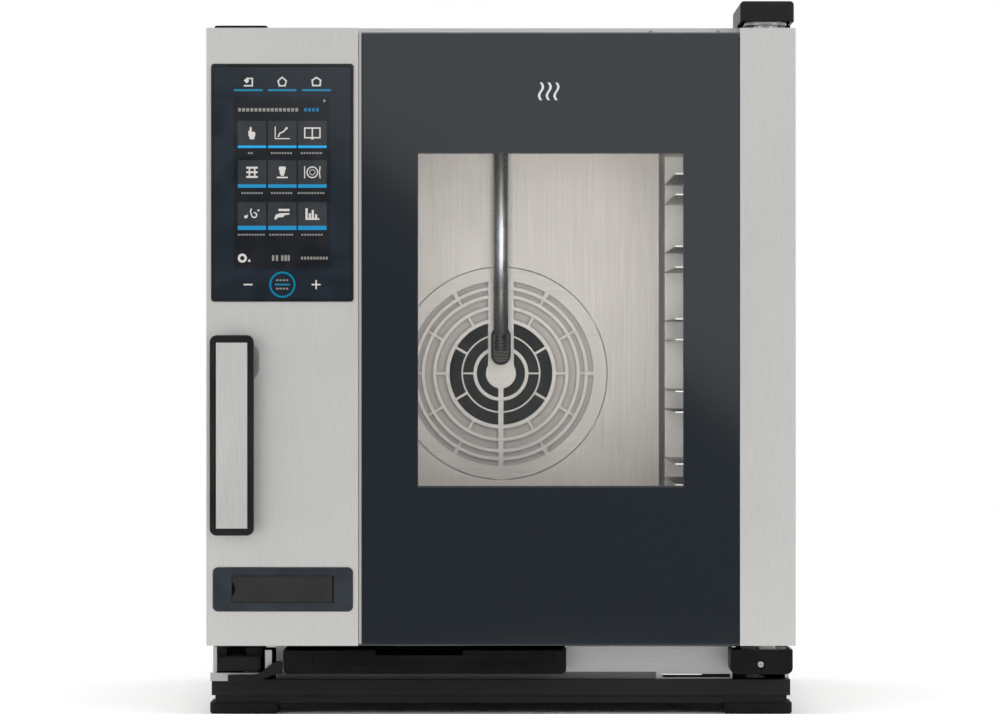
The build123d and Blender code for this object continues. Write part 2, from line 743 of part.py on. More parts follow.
with BuildPart() as cavity_drain:
    rod((0, drain_y, drain_z), (0, drain_y, cavity_bottom), drain_radius)
    rod((0, drain_y, drain_z), (0, spigot_foot, drain_z), drain_radius - neck)
    rod((0, spigot_foot, drain_z), (0, spigot_y, drain_z), drain_radius)
    rod((0, drain_y, cavity_bottom), (0, drain_y, cavity_bottom + 1.5), 26)
    rod((0, drain_y, drain_z), (0, drain_y, cavity_bottom - 2), drain_inside, mode=Mode.SUBTRACT)
    rod((0, drain_y, drain_z), (0, spigot_y + 1, drain_z), drain_inside, mode=Mode.SUBTRACT)
    with Locations((0, drain_y, cavity_bottom - 2)):
        with PolarLocations(8, 8):
            Cylinder(2.2, 20, mode=Mode.SUBTRACT)
save(cavity_drain, "cavity_drain")

damper_radius = exhaust_radius - exhaust_wall - loose_gap
damper_arm = exhaust_radius + 9
spindle_radius = 2.0

with BuildPart() as exhaust_pipe:
    rod((exhaust_x, liner_back - sheet, exhaust_z), (exhaust_x, spigot_foot, exhaust_z),
        exhaust_radius - neck)
    rod((exhaust_x, spigot_foot, exhaust_z), (exhaust_x, spigot_y, exhaust_z), exhaust_radius)
    rod((exhaust_x, liner_back - 2 * sheet, exhaust_z), (exhaust_x, spigot_y + 1, exhaust_z),
        exhaust_radius - exhaust_wall, mode=Mode.SUBTRACT)
    rod((exhaust_x - 30, damper_y, exhaust_z), (exhaust_x + 30, damper_y, exhaust_z),
        spindle_radius + running_gap, mode=Mode.SUBTRACT)
save(exhaust_pipe, "exhaust_pipe")

with BuildPart() as exhaust_damper:
    rod((exhaust_x, damper_y - 0.75, exhaust_z), (exhaust_x, damper_y + 0.75, exhaust_z), damper_radius)
    rod((exhaust_x - exhaust_radius - 3, damper_y, exhaust_z), (exhaust_x + damper_arm, damper_y, exhaust_z),
        spindle_radius)
save(exhaust_damper, "exhaust_damper")

with BuildPart() as damper_motor:
    actuator_x = (exhaust_x + exhaust_radius + 3, exhaust_x + exhaust_radius + 31)
    block(actuator_x, (damper_y - 16, damper_y + 16), (exhaust_z - 20, exhaust_z + 12))
    block(actuator_x, (damper_y + 16, panel_inside), (exhaust_z - 20, exhaust_z - 17))
    rod((actuator_x[0] - 1, damper_y, exhaust_z), (actuator_x[0] + 8, damper_y, exhaust_z),
        spindle_radius + running_gap, mode=Mode.SUBTRACT)
    fillet(damper_motor.edges().filter_by(Axis.X).group_by(Axis.Z)[-1], 4)
save(damper_motor, "damper_motor")

board_thickness = 1.6
board_x = -(cabinet_half - sheet - 12)
board_y = (cabinet_front + 120, cabinet_front + 290)
board_z = (fan_z - 90, fan_z + 110)

with BuildPart() as power_board:
    block((board_x - board_thickness, board_x), board_y, board_z)
    for row in range(3):
        y = board_y[0] + 28 + row * 52
        block((board_x, board_x + 18), (y, y + 28), (board_z[0] + 14, board_z[0] + 44))
        rod((board_x, y + 12, board_z[0] + 90), (board_x + 24, y + 12, board_z[0] + 90), 11)
        block((board_x, board_x + 14), (y, y + 20), (board_z[1] - 40, board_z[1] - 14))
    for y in (board_y[0] + 8, board_y[1] - 8):
        for z in (board_z[0] + 8, board_z[1] - 8):
            rod((-cabinet_half + sheet, y, z), (board_x, y, z), 3)
save(power_board, "power_board")

duct_radius = cooling_fan_size / 2 - 2
cooling_y = (panel_inside - cooling_fan_depth, panel_inside)
rotor_hub = 16.0

with BuildPart() as cooling_fan_frame:
    with BuildSketch(facing(cooling_y[0])):
        with Locations((cooling_x, cooling_z)):
            RectangleRounded(cooling_fan_size, cooling_fan_size, 5)
            Circle(duct_radius, mode=Mode.SUBTRACT)
            with GridLocations(cooling_fan_size - 9, cooling_fan_size - 9, 2, 2):
                Circle(2.2, mode=Mode.SUBTRACT)
    extrude(amount=-cooling_fan_depth)
    with BuildSketch(facing(cooling_y[0])):
        with Locations((cooling_x, cooling_z)):
            Circle(rotor_hub)
            Rectangle(2 * duct_radius + 1, 5)
            Rectangle(5, 2 * duct_radius + 1)
    extrude(amount=-3)
    rod((cooling_x, cooling_y[0] + 3, cooling_z), (cooling_x, cooling_y[0] + 14, cooling_z), 2.5)
save(cooling_fan_frame, "cooling_fan_frame")

with BuildPart() as cooling_fan_rotor:
    rotor_y = (cooling_y[0] + 4, cooling_y[1] - 2.5)
    rod((cooling_x, rotor_y[0], cooling_z), (cooling_x, rotor_y[1], cooling_z), rotor_hub)
    for blade in range(cooling_blades):
        angle = 360 / cooling_blades * blade
        spoke = Plane(origin=(cooling_x, sum(rotor_y) / 2, cooling_z),
                      x_dir=(math.cos(math.radians(angle)), 0, math.sin(math.radians(angle))),
                      z_dir=(-math.sin(math.radians(angle)), 0, math.cos(math.radians(angle))))
        with Locations(spoke * Location(((rotor_hub + duct_radius - 2) / 2, 0, 0), (40, 0, 0))):
            Box(duct_radius - rotor_hub - 1, 18, 1.2)
    rod((cooling_x, rotor_y[0] - 1, cooling_z), (cooling_x, cooling_y[0] + 14.5, cooling_z),
        2.5 + running_gap, mode=Mode.SUBTRACT)
save(cooling_fan_rotor, "cooling_fan_rotor")

with BuildPart() as water_valve:
    rod((water_x, panel_inside - 26, water_z), (water_x, spigot_foot, water_z), water_inlet_radius - neck)
    rod((water_x, spigot_foot, water_z), (water_x, spigot_y, water_z), water_inlet_radius)
    rod((water_x, panel_inside - 16, water_z), (water_x, spigot_y + 1, water_z), 9, mode=Mode.SUBTRACT)
    block((water_x - 17, water_x + 17), (panel_inside - 46, panel_inside - 22), (water_z - 17, water_z + 17))
    block((water_x - 13, water_x + 13), (panel_inside - 46, panel_inside - 24), (water_z + 17, water_z + 46))
    rod((water_x, panel_inside - 34, water_z - 30), (water_x, panel_inside - 34, water_z - 17), 6)
save(water_valve, "water_valve")

with BuildPart() as cable_gland:
    rod((gland_x, panel_inside - 8, gland_z), (gland_x, panel_back, gland_z), 9)
    with BuildSketch(facing(panel_back)):
        with Locations((gland_x, gland_z)):
            RegularPolygon(14, 6)
    extrude(amount=-7)
    rod((gland_x, panel_back + 7, gland_z), (gland_x, panel_back + 16, gland_z), 11)
    fillet(cable_gland.edges().filter_by(GeomType.CIRCLE).group_by(Axis.Y)[-1], 3)
    with BuildSketch(facing(panel_inside - 8)):
        with Locations((gland_x, gland_z)):
            RegularPolygon(13, 6)
    extrude(amount=5)
    rod((gland_x, panel_inside - 20, gland_z), (gland_x, panel_back + 20, gland_z), 5.5, mode=Mode.SUBTRACT)
save(cable_gland, "cable_gland")

cheek_x = (hub_x - 13.5, hub_x - 4)
bolt_z = (crank_z - 4.5, crank_z + 4.5)
bolt_y = (door_back - 21, door_back - 12)

with BuildPart() as latch_keeper:
    block((cheek_x[0] - 6, cheek_x[1] + 3), (cabinet_front - 2, cabinet_front), (crank_z - 24, crank_z + 24))
    for low, high in ((bolt_z[0] - 4.5, bolt_z[0] - 1), (bolt_z[1] + 1, bolt_z[1] + 4.5)):
        block(cheek_x, (bolt_y[0] + 1, cabinet_front - 2), (low, high))
save(latch_keeper, "latch_keeper")

back_screw_x = (cabinet_half - 8, cabinet_half - 90, 30)
back_screw_z = (rail_top + 12, cabinet_top - 12)

with BuildPart() as cabinet_screws:
    for x in frame_screw_x:
        rod((x, cabinet_front - 0.8, door_top), (x, cabinet_front, door_top), frame_screw_radius)
    for x in back_screw_x:
        for side in (-1, 1):
            for z in back_screw_z:
                rod((side * x, panel_back, z), (side * x, panel_back + 2, z), 3.6)
    for z in (fan_z - 130, fan_z + 40):
        for side in (-1, 1):
            rod((side * back_screw_x[0], panel_back, z), (side * back_screw_x[0], panel_back + 2, z), 3.6)
    rod((cover_screw_x, cover_front + 1, cover_screw_z), (cover_screw_x, cover_front + 3, cover_screw_z), 2.8)
    for y in (frame_back + 18, frame_back + 52):
        z = cabinet_top + bracket_thickness
        rod((hinge_x, y, z), (hinge_x, y, z + 3), 4.5)
save(cabinet_screws, "cabinet_screws")

# ---------------------------------------------------------------------------
# Door: frame, glasses and steel columns.
# ---------------------------------------------------------------------------

tub_x = (column_left + sheet + 0.5, right_column_left - 2.3)
tub_z = (door_bottom + 1.8, glass_top - 0.5)
inner_glass_thickness = 4.5
tub_back = door_back - inner_glass_thickness
tub_front = glass_back
window_x = (glass_left + window_side_margin, glass_right - window_side_margin)
window_z = (door_bottom + window_bottom_margin, glass_top - window_top_margin)
tunnel_x = (window_x[0] - 21, window_x[1] + 21)
tunnel_z = (window_z[0] - 20, window_z[1] + 20)
keeper_play = 3.0
bolt_play = 0.4
lug_width = 5.0
lug_x = [hub_x + bolt_travel + crank_pin_radius + 1.5, hub_x + bolt_travel + 24]

with BuildPart() as door_frame:
    block(tub_x, (tub_front, tub_back), tub_z)
    block((tub_x[0] + heavy_sheet, tub_x[1] - heavy_sheet), (tub_front - 1, tub_back - heavy_sheet),
          (tub_z[0] + heavy_sheet, tub_z[1] - heavy_sheet), mode=Mode.SUBTRACT)
    block((column_right + 0.4, glass_left - 0.4), (tub_front - 3, tub_back), tub_z)
    block((tunnel_x[0] - sheet, tunnel_x[1] + sheet), (tub_front, tub_back),
          (tunnel_z[0] - sheet, tunnel_z[1] + sheet))
    block(tunnel_x, (tub_front - 1, tub_back + 1), tunnel_z, mode=Mode.SUBTRACT)
    for arm in (upper_arm, lower_arm):
        block((tub_x[1] - 8, hinge_x), (hinge_y - arm_half, hinge_y + arm_half), arm)
        rod((hinge_x, hinge_y, arm[0]), (hinge_x, hinge_y, arm[1]), arm_half)
        rod((hinge_x, hinge_y, arm[0] - 1), (hinge_x, hinge_y, arm[1] + 1),
            hinge_pin_radius + bush_wall, mode=Mode.SUBTRACT)
    block((cheek_x[0] - keeper_play, cheek_x[1] + keeper_play + 3), (tub_back - 3, tub_back + 1),
          (bolt_z[0] - 4.5 - keeper_play, bolt_z[1] + 4.5 + keeper_play), mode=Mode.SUBTRACT)
    for lug in lug_x:
        block((lug, lug + lug_width), (bolt_y[0] - 1.6, tub_back - heavy_sheet),
              (bolt_z[0] - 5, bolt_z[1] + 5))
        block((lug - 1, lug + lug_width + 1), (bolt_y[0] - bolt_play, bolt_y[1] + bolt_play),
              (bolt_z[0] - bolt_play, bolt_z[1] + bolt_play), mode=Mode.SUBTRACT)
save(door_frame, "door_frame")

with BuildPart() as outer_glass:
    with BuildSketch(facing(tub_front)):
        rounded((glass_left, glass_right), (door_bottom + 0.3, glass_top), 1)
    extrude(amount=glass_thickness)
    chamfer(outer_glass.faces().sort_by(Axis.Y)[0].edges(), 0.6)
save(outer_glass, "outer_glass")

with BuildPart() as middle_glass:
    block((tunnel_x[0] + loose_gap, tunnel_x[1] - loose_gap), (tub_front + 22, tub_front + 26),
          (tunnel_z[0] + loose_gap, tunnel_z[1] - loose_gap))
save(middle_glass, "middle_glass")

with BuildPart() as inner_glass:
    with BuildSketch(facing(door_back)):
        glass_reach = seal_reach + 4
        rounded((-cavity_half - glass_reach, cavity_half + glass_reach),
                (cavity_bottom - glass_reach, cavity_top + glass_reach), 5)
    extrude(amount=inner_glass_thickness)
    chamfer(inner_glass.faces().sort_by(Axis.Y)[-1].edges(), 0.6)
save(inner_glass, "inner_glass")

panel_x = (column_left + panel_side, column_left + panel_side + panel_width)
panel_z = (door_top - panel_drop - panel_height, door_top - panel_drop)
port_x = (column_left + port_side, column_left + port_side + port_width)
port_z = (door_bottom + port_lift, door_bottom + port_lift + port_height)
body_inset = 8.0
return_back = door_back - 5

with BuildPart() as left_column:
    block((column_left, column_right), (door_front, return_back), (door_bottom, door_top))
    block((column_left + sheet, column_right - sheet), (door_front + sheet, return_back + 1),
          (door_bottom + sheet, door_top - sheet), mode=Mode.SUBTRACT)
    block((column_right - sheet - 1, column_right + 1), (tub_front - 0.3, return_back + 1),
          (door_bottom - 1, door_top + 1), mode=Mode.SUBTRACT)
    for opening_x, opening_z, inset in ((panel_x, panel_z, body_inset - 0.5),
                                        (port_x, port_z, port_body_inset - 0.3)):
        block((opening_x[0] + inset, opening_x[1] - inset), (door_front - 1, door_front + 3),
              (opening_z[0] + inset, opening_z[1] - inset), mode=Mode.SUBTRACT)
    rod((hub_x, door_front - 1, hub_z), (hub_x, door_front + 3, hub_z), 8, mode=Mode.SUBTRACT)
    fillet(left_column.edges().filter_by(Axis.Z).group_by(Axis.X)[0].sort_by(Axis.Y)[0], 0.9)
save(left_column, "left_column")

with BuildPart() as right_column:
    column_back = door_front + right_column_depth
    block((right_column_left, half), (door_front, column_back), (door_bottom, door_top))
    block((right_column_left + sheet, half - sheet), (door_front + sheet, column_back - sheet),
          (door_bottom + sheet, door_top - sheet), mode=Mode.SUBTRACT)
    block((right_column_left - 1, right_column_left + 9), (tub_front + 1, column_back + 1),
          (door_bottom - 1, door_top + 1), mode=Mode.SUBTRACT)
    rod((hinge_x, hinge_y, door_bottom - 1), (hinge_x, hinge_y, door_top + 1), 13, mode=Mode.SUBTRACT)
    fillet(right_column.edges().filter_by(Axis.Z).group_by(Axis.X)[-1].sort_by(Axis.Y)[0], 0.9)
save(right_column, "right_column")

with BuildPart() as hinge_bushes:
    for arm in (upper_arm, lower_arm):
        rod((hinge_x, hinge_y, arm[0]), (hinge_x, hinge_y, arm[1]), hinge_pin_radius + bush_wall)
        rod((hinge_x, hinge_y, arm[0]), (hinge_x, hinge_y, arm[1]),
            hinge_pin_radius + running_gap, mode=Mode.SUBTRACT)
save(hinge_bushes, "hinge_bushes")

# ---------------------------------------------------------------------------
# Touch panel in the left column.
# ---------------------------------------------------------------------------

panel_front = door_front - panel_proud
display_x = (sum(panel_x) / 2 - display_width / 2, sum(panel_x) / 2 + display_width / 2)
display_z = (panel_z[0] + 28.5, panel_z[0] + 28.5 + display_height)

with BuildPart() as touch_frame:
    with BuildSketch(facing(door_front)):
        rounded(panel_x, panel_z, 3)
        rounded((panel_x[0] + panel_rim, panel_x[1] - panel_rim),
                (panel_z[0] + panel_rim, panel_z[1] - panel_rim), 2, Mode.SUBTRACT)
    extrude(amount=panel_proud)
    chamfer(touch_frame.edges().group_by(Axis.Y)[0].filter_by(lambda edge: edge.length > 1), 0.5)
    with BuildSketch(facing(door_front)):
        rounded((panel_x[0] + 1, panel_x[1] - 1), (panel_z[0] + 1, panel_z[1] - 1), 2)
        rounded((panel_x[0] + body_inset + 2, panel_x[1] - body_inset - 2),
                (panel_z[0] + body_inset + 2, panel_z[1] - body_inset - 2), 1, Mode.SUBTRACT)
    extrude(amount=0.8)
    with BuildSketch(facing(door_front)):
        rounded((panel_x[0] + body_inset, panel_x[1] - body_inset),
                (panel_z[0] + body_inset, panel_z[1] - body_inset), 2)
        rounded((panel_x[0] + body_inset + 2, panel_x[1] - body_inset - 2),
                (panel_z[0] + body_inset + 2, panel_z[1] - body_inset - 2), 1, Mode.SUBTRACT)
    extrude(amount=-15)
save(touch_frame, "touch_frame")

with BuildPart() as touch_glass:
    with BuildSketch(facing(door_front - 0.8)):
        rounded((panel_x[0] + panel_rim + 0.2, panel_x[1] - panel_rim - 0.2),
                (panel_z[0] + panel_rim + 0.2, panel_z[1] - panel_rim - 0.2), 1.8)
    extrude(amount=panel_proud - 1)
save(touch_glass, "touch_glass")

with BuildPart() as display_module:
    block(display_x, (door_front - 0.6, door_front + 7), display_z)
    block((display_x[0] + 6, display_x[1] - 6), (door_front + 7, door_front + 9),
          (display_z[0] + 10, display_z[1] - 10))
save(display_module, "display_module")

board_front = door_front + 15.6
board_back = board_front + board_thickness

with BuildPart() as control_board:
    block((panel_x[0] + 9, panel_x[1] - 9), (board_front, board_back), (panel_z[0] + 9, panel_z[1] - 9))
    for row in range(4):
        z = panel_z[0] + 24 + row * 45
        block((panel_x[0] + 24, panel_x[0] + 46), (board_back, board_back + 3), (z, z + 22))
        block((panel_x[1] - 44, panel_x[1] - 26), (board_back, board_back + 8), (z + 4, z + 16))
save(control_board, "control_board")

# ---------------------------------------------------------------------------
# Turning handle, its boss and the latch bolt it drives.
# ---------------------------------------------------------------------------

handle_x = (column_left + handle_side, column_left + handle_side + handle_width)
handle_z = (handle_bottom, handle_top)
handle_back = handle_front + handle_thickness
boss_height = 8.0
boss_half = 19.5
inlay_depth = 1.6
shaft_end = bolt_y[0] - 2.4

with BuildPart() as handle_escutcheon:
    with BuildSketch(facing(door_front)):
        rounded((hub_x - boss_half, hub_x + boss_half), (hub_z - 18, hub_z + 18), 12)
    extrude(amount=boss_height)
    fillet(handle_escutcheon.edges().group_by(Axis.Y)[0], 2)
    rod((hub_x, door_front + 4, hub_z), (hub_x, door_front, hub_z), 7.7)
    rod((hub_x, door_front + 5, hub_z), (hub_x, door_front - boss_height - 1, hub_z),
        shaft_radius - 1 + running_gap, mode=Mode.SUBTRACT)
save(handle_escutcheon, "handle_escutcheon")

with BuildPart() as handle_frame:
    with BuildSketch(facing(handle_back)):
        rounded(handle_x, handle_z, 6.4)
    extrude(amount=handle_thickness)
    fillet(handle_frame.edges().group_by(Axis.Y)[0], 1.6)
    fillet(handle_frame.edges().group_by(Axis.Y)[-1], 2.5)
    rod((hub_x, handle_back - 2, hub_z), (hub_x, door_front - boss_height - loose_gap, hub_z), hub_radius)
    block((handle_x[0] + handle_rim, handle_x[1] - handle_rim), (handle_front - 1, handle_front + inlay_depth),
          (handle_z[0] + handle_rim + 0.6, handle_z[1] - handle_rim - 1), mode=Mode.SUBTRACT)
    rod((hub_x, handle_front + 5, hub_z), (hub_x, door_front, hub_z), shaft_radius - 1, mode=Mode.SUBTRACT)
save(handle_frame, "handle_frame")

with BuildPart() as handle_plate:
    block((handle_x[0] + handle_rim + 0.2, handle_x[1] - handle_rim - 0.2),
          (handle_front + 0.4, handle_front + inlay_depth),
          (handle_z[0] + handle_rim + 0.8, handle_z[1] - handle_rim - 1.2))
    chamfer(handle_plate.faces().sort_by(Axis.Y)[0].edges(), 0.3)
save(handle_plate, "handle_plate")

crank_y = (shaft_end - 4.5, shaft_end)

with BuildPart() as handle_shaft:
    rod((hub_x, handle_front + 5, hub_z), (hub_x, shaft_end, hub_z), shaft_radius - 1)
    with BuildSketch(facing(shaft_end)):
        with Locations((hub_x, hub_z)):
            Circle(9)
        with Locations((hub_x, hub_z - crank_length / 2 - 4)):
            Rectangle(14, crank_length + 8)
        with Locations((hub_x, crank_z - 1)):
            SlotOverall(2 * crank_length - 22, 2 * (crank_pin_radius + crank_play), rotation=90,
                        mode=Mode.SUBTRACT)
    extrude(amount=4.5)
save(handle_shaft, "handle_shaft")

with BuildPart() as latch_bolt:
    block((hub_x - 12.5, hub_x + 46), bolt_y, bolt_z)
    chamfer(latch_bolt.faces().sort_by(Axis.X)[0].edges().filter_by(Axis.Z).sort_by(Axis.Y)[-1], 3)
    rod((hub_x, bolt_y[0] - 8, crank_z), (hub_x, bolt_y[0] + 1, crank_z), crank_pin_radius)
save(latch_bolt, "latch_bolt")

# ---------------------------------------------------------------------------
# Service port with its hinged flap.
# ---------------------------------------------------------------------------

flap_x = (port_x[0] + 17.7, port_x[0] + 17.7 + flap_width)
flap_z = (sum(port_z) / 2 - flap_height / 2 + 0.2, sum(port_z) / 2 + flap_height / 2 + 0.2)
port_front = door_front - port_proud
flap_front = port_front + 0.3
barrel_x = flap_x[1] - barrel_radius
barrel_y = flap_front + barrel_radius
pocket_depth = 5.0
socket_x = (flap_x[0] + 26, flap_x[0] + 40)
socket_z = (sum(flap_z) / 2 - 3.6, sum(flap_z) / 2 + 3.6)

with BuildPart() as usb_bezel:
    with BuildSketch(facing(door_front)):
        rounded(port_x, port_z, 5)
    extrude(amount=port_proud)
    chamfer(usb_bezel.edges().group_by(Axis.Y)[0], 0.7)
    block((port_x[0] + port_body_inset, port_x[1] - port_body_inset), (door_front, door_front + 12),
          (port_z[0] + port_body_inset, port_z[1] - port_body_inset))
    block((flap_x[0] - 0.5, flap_x[1] + 0.7), (port_front - 1, port_front + pocket_depth),
          (flap_z[0] - 0.5, flap_z[1] + 0.5), mode=Mode.SUBTRACT)
    rod((barrel_x, barrel_y, flap_z[0] - 3), (barrel_x, barrel_y, flap_z[1] + 3),
        trunnion_radius + running_gap, mode=Mode.SUBTRACT)
    block((socket_x[0], socket_x[1]), (port_front, door_front + 13), socket_z, mode=Mode.SUBTRACT)
save(usb_bezel, "usb_bezel")

with BuildPart() as usb_flap:
    block((flap_x[0], barrel_x), (flap_front, flap_front + flap_thickness), flap_z)
    rod((flap_x[0], flap_front - 1, sum(flap_z) / 2), (flap_x[0], flap_front + 5, sum(flap_z) / 2), 3.2,
        mode=Mode.SUBTRACT)
    rod((barrel_x, barrel_y, flap_z[0]), (barrel_x, barrel_y, flap_z[1]), barrel_radius)
    rod((barrel_x, barrel_y, flap_z[0] - 2.6), (barrel_x, barrel_y, flap_z[1] + 2.6), trunnion_radius)
save(usb_flap, "usb_flap")

with BuildPart() as usb_port:
    block(socket_x, (port_front + pocket_depth + 0.5, door_front + 16), socket_z)
    block((socket_x[0] + 0.6, socket_x[1] - 0.6), (port_front, door_front + 13),
          (socket_z[0] + 0.6, socket_z[1] - 0.6), mode=Mode.SUBTRACT)
save(usb_port, "usb_port")
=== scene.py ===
import math

import bpy
import numpy as np
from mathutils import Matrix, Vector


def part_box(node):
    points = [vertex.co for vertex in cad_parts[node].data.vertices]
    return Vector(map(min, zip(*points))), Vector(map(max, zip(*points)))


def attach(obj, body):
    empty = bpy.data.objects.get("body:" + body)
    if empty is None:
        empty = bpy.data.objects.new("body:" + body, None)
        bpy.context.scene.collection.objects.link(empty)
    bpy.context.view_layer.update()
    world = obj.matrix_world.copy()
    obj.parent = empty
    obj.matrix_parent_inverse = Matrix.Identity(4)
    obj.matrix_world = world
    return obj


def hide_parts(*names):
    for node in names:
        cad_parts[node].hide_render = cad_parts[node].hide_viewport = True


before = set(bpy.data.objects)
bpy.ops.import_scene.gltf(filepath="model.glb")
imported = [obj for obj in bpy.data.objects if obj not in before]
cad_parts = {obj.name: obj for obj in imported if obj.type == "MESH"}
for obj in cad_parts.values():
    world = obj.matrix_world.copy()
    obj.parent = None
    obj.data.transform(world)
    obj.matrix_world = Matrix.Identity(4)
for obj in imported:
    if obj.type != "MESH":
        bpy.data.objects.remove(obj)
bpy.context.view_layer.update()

# ---------------------------------------------------------------------------
# Feet. Four moulded nitrile rubber pads under the corners of the base.
# Matte black, a little grey where they rub, with a fine moulded grain.
# ---------------------------------------------------------------------------


def srgb(code):
    """Turn an sRGB hex colour into the linear RGBA that shaders use."""
    part = np.array([int(code[i:i + 2], 16) for i in (0, 2, 4)]) / 255
    linear = np.where(part <= 0.04045, part / 12.92, ((part + 0.055) / 1.055) ** 2.4)
    return (*linear.tolist(), 1.0)


def add_node(tree, kind, inputs, **settings):
    """Add one node: settings go on the node, inputs hold values or the sockets that feed them."""
    made = tree.nodes.new(kind)
    for name, value in settings.items():
        setattr(made, name, value)
    for name, value in inputs.items():
        if isinstance(value, bpy.types.NodeSocket):
            tree.links.new(value, made.inputs[name])
        else:
            made.inputs[name].default_value = value
    return made


def new_material(name):
    """Start a material with an empty node tree and give back both."""
    material = bpy.data.materials.new(name)
    material.use_nodes = True
    material.node_tree.nodes.clear()
    return material, material.node_tree


def grained_moulding(name, dark, light, roughness, grain_mm, depth_mm, skin=0.2):
    """Moulded polymer with spark-eroded grain: fine bumps, faint cloudy colour, and a skin so finely
    pitted that it sends back less light than a polished one."""
    material, tree = new_material(name)
    place = add_node(tree, "ShaderNodeTexCoord", {})
    cloud = add_node(tree, "ShaderNodeTexNoise",
                     {"Vector": place.outputs["Object"], "Scale": 28.0, "Detail": 4.0})
    grain = add_node(tree, "ShaderNodeTexNoise",
                     {"Vector": place.outputs["Object"], "Scale": 1000 / grain_mm, "Detail": 2.0})
    spread = add_node(tree, "ShaderNodeMapRange",
                      {"Value": cloud.outputs["Fac"], "From Min": 0.35, "From Max": 0.65})
    colour = add_node(tree, "ShaderNodeMixRGB",
                      {"Fac": spread.outputs["Result"], "Color1": srgb(dark), "Color2": srgb(light)})
    rough = add_node(tree, "ShaderNodeMapRange",
                     {"Value": spread.outputs["Result"], "To Min": roughness - 0.05,
                      "To Max": roughness + 0.05})
    bump = add_node(tree, "ShaderNodeBump",
                    {"Height": grain.outputs["Fac"], "Strength": 0.35, "Distance": depth_mm / 1000})
    surface = add_node(tree, "ShaderNodeBsdfPrincipled",
                       {"Base Color": colour.outputs["Color"], "Roughness": rough.outputs["Result"],
                        "Normal": bump.outputs["Normal"], "Specular IOR Level": skin})
    add_node(tree, "ShaderNodeOutputMaterial", {"Surface": surface.outputs["BSDF"]})
    return material


def finish_nodes(material, *names):
    """Give CAD nodes their real finish."""
    for name in names:
        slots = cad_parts[name].data.materials
        slots.clear()
        slots.append(material)


finish_nodes(grained_moulding("nitrile_rubber", "171616", "1f1e1e", 0.72, 1.2, 0.15, 0.12), "feet")

# ---------------------------------------------------------------------------
# Base frame. Folded steel rails under the cabinet, powder coated black.
# Powder coat levels into a soft orange peel about 2 mm across.
# ---------------------------------------------------------------------------


def powder_coat(name, dark, light, roughness, peel_mm):
    """Baked polyester powder on steel: a low, smooth orange peel under a satin skin."""
    material, tree = new_material(name)
    place = add_node(tree, "ShaderNodeTexCoord", {})
    peel = add_node(tree, "ShaderNodeTexNoise",
                    {"Vector": place.outputs["Object"], "Scale": 1000 / peel_mm, "Detail": 1.0})
    cloud = add_node(tree, "ShaderNodeTexNoise",
                     {"Vector": place.outputs["Object"], "Scale": 9.0, "Detail": 3.0})
    spread = add_node(tree, "ShaderNodeMapRange",
                      {"Value": cloud.outputs["Fac"], "From Min": 0.3, "From Max": 0.7})
    colour = add_node(tree, "ShaderNodeMixRGB",
                      {"Fac": spread.outputs["Result"], "Color1": srgb(dark), "Color2": srgb(light)})
    rough = add_node(tree, "ShaderNodeMapRange",
                     {"Value": peel.outputs["Fac"], "To Min": roughness - 0.04, "To Max": roughness + 0.04})
    bump = add_node(tree, "ShaderNodeBump",
                    {"Height": peel.outputs["Fac"], "Strength": 0.25, "Distance": 0.0002})
    surface = add_node(tree, "ShaderNodeBsdfPrincipled",
                       {"Base Color": colour.outputs["Color"], "Roughness": rough.outputs["Result"],
                        "Normal": bump.outputs["Normal"], "Specular IOR Level": 0.12,
                        "Coat Weight": 0.1, "Coat Roughness": 0.3})
    add_node(tree, "ShaderNodeOutputMaterial", {"Surface": surface.outputs["BSDF"]})
    return material


finish_nodes(powder_coat("black_powder_coat", "191918", "201f1f", 0.5, 2.0), "base_frame")

# ---------------------------------------------------------------------------
# Base pan and back panel. Hot-dip galvanised sheet, punched and screwed on.
# Zinc cools into crystals 5 to 10 mm across, each with its own grey.
# ---------------------------------------------------------------------------


def galvanised_sheet(name):
    """Zinc spangle: each crystal is one cell of a Voronoi pattern with its own tone and gloss."""
    material, tree = new_material(name)
    place = add_node(tree, "ShaderNodeTexCoord", {})
    crystals = add_node(tree, "ShaderNodeTexVoronoi", {"Vector": place.outputs["Object"], "Scale": 140.0})
    tone = add_node(tree, "ShaderNodeRGBToBW", {"Color": crystals.outputs["Color"]})
    colour = add_node(tree, "ShaderNodeMixRGB",
                      {"Fac": tone.outputs["Val"], "Color1": srgb("9fa3a5"), "Color2": srgb("bcbfc1")})
    rough = add_node(tree, "ShaderNodeMapRange",
                     {"Value": tone.outputs["Val"], "To Min": 0.36, "To Max": 0.5})
    surface = add_node(tree, "ShaderNodeBsdfPrincipled",
                       {"Base Color": colour.outputs["Color"], "Metallic": 1.0,
                        "Roughness": rough.outputs["Result"]})
    add_node(tree, "ShaderNodeOutputMaterial", {"Surface": surface.outputs["BSDF"]})
    return material


finish_nodes(galvanised_sheet("galvanised_steel"), "base_pan", "back_panel")

# ---------------------------------------------------------------------------
# Plinth front and cabinet skin. AISI 304 stainless sheet, 1.2 mm, folded.
# Belt brushing leaves streaks a few tenths of a millimetre wide and long
# along the belt; here they are 0.6 mm so that they show from a few metres.
# ---------------------------------------------------------------------------


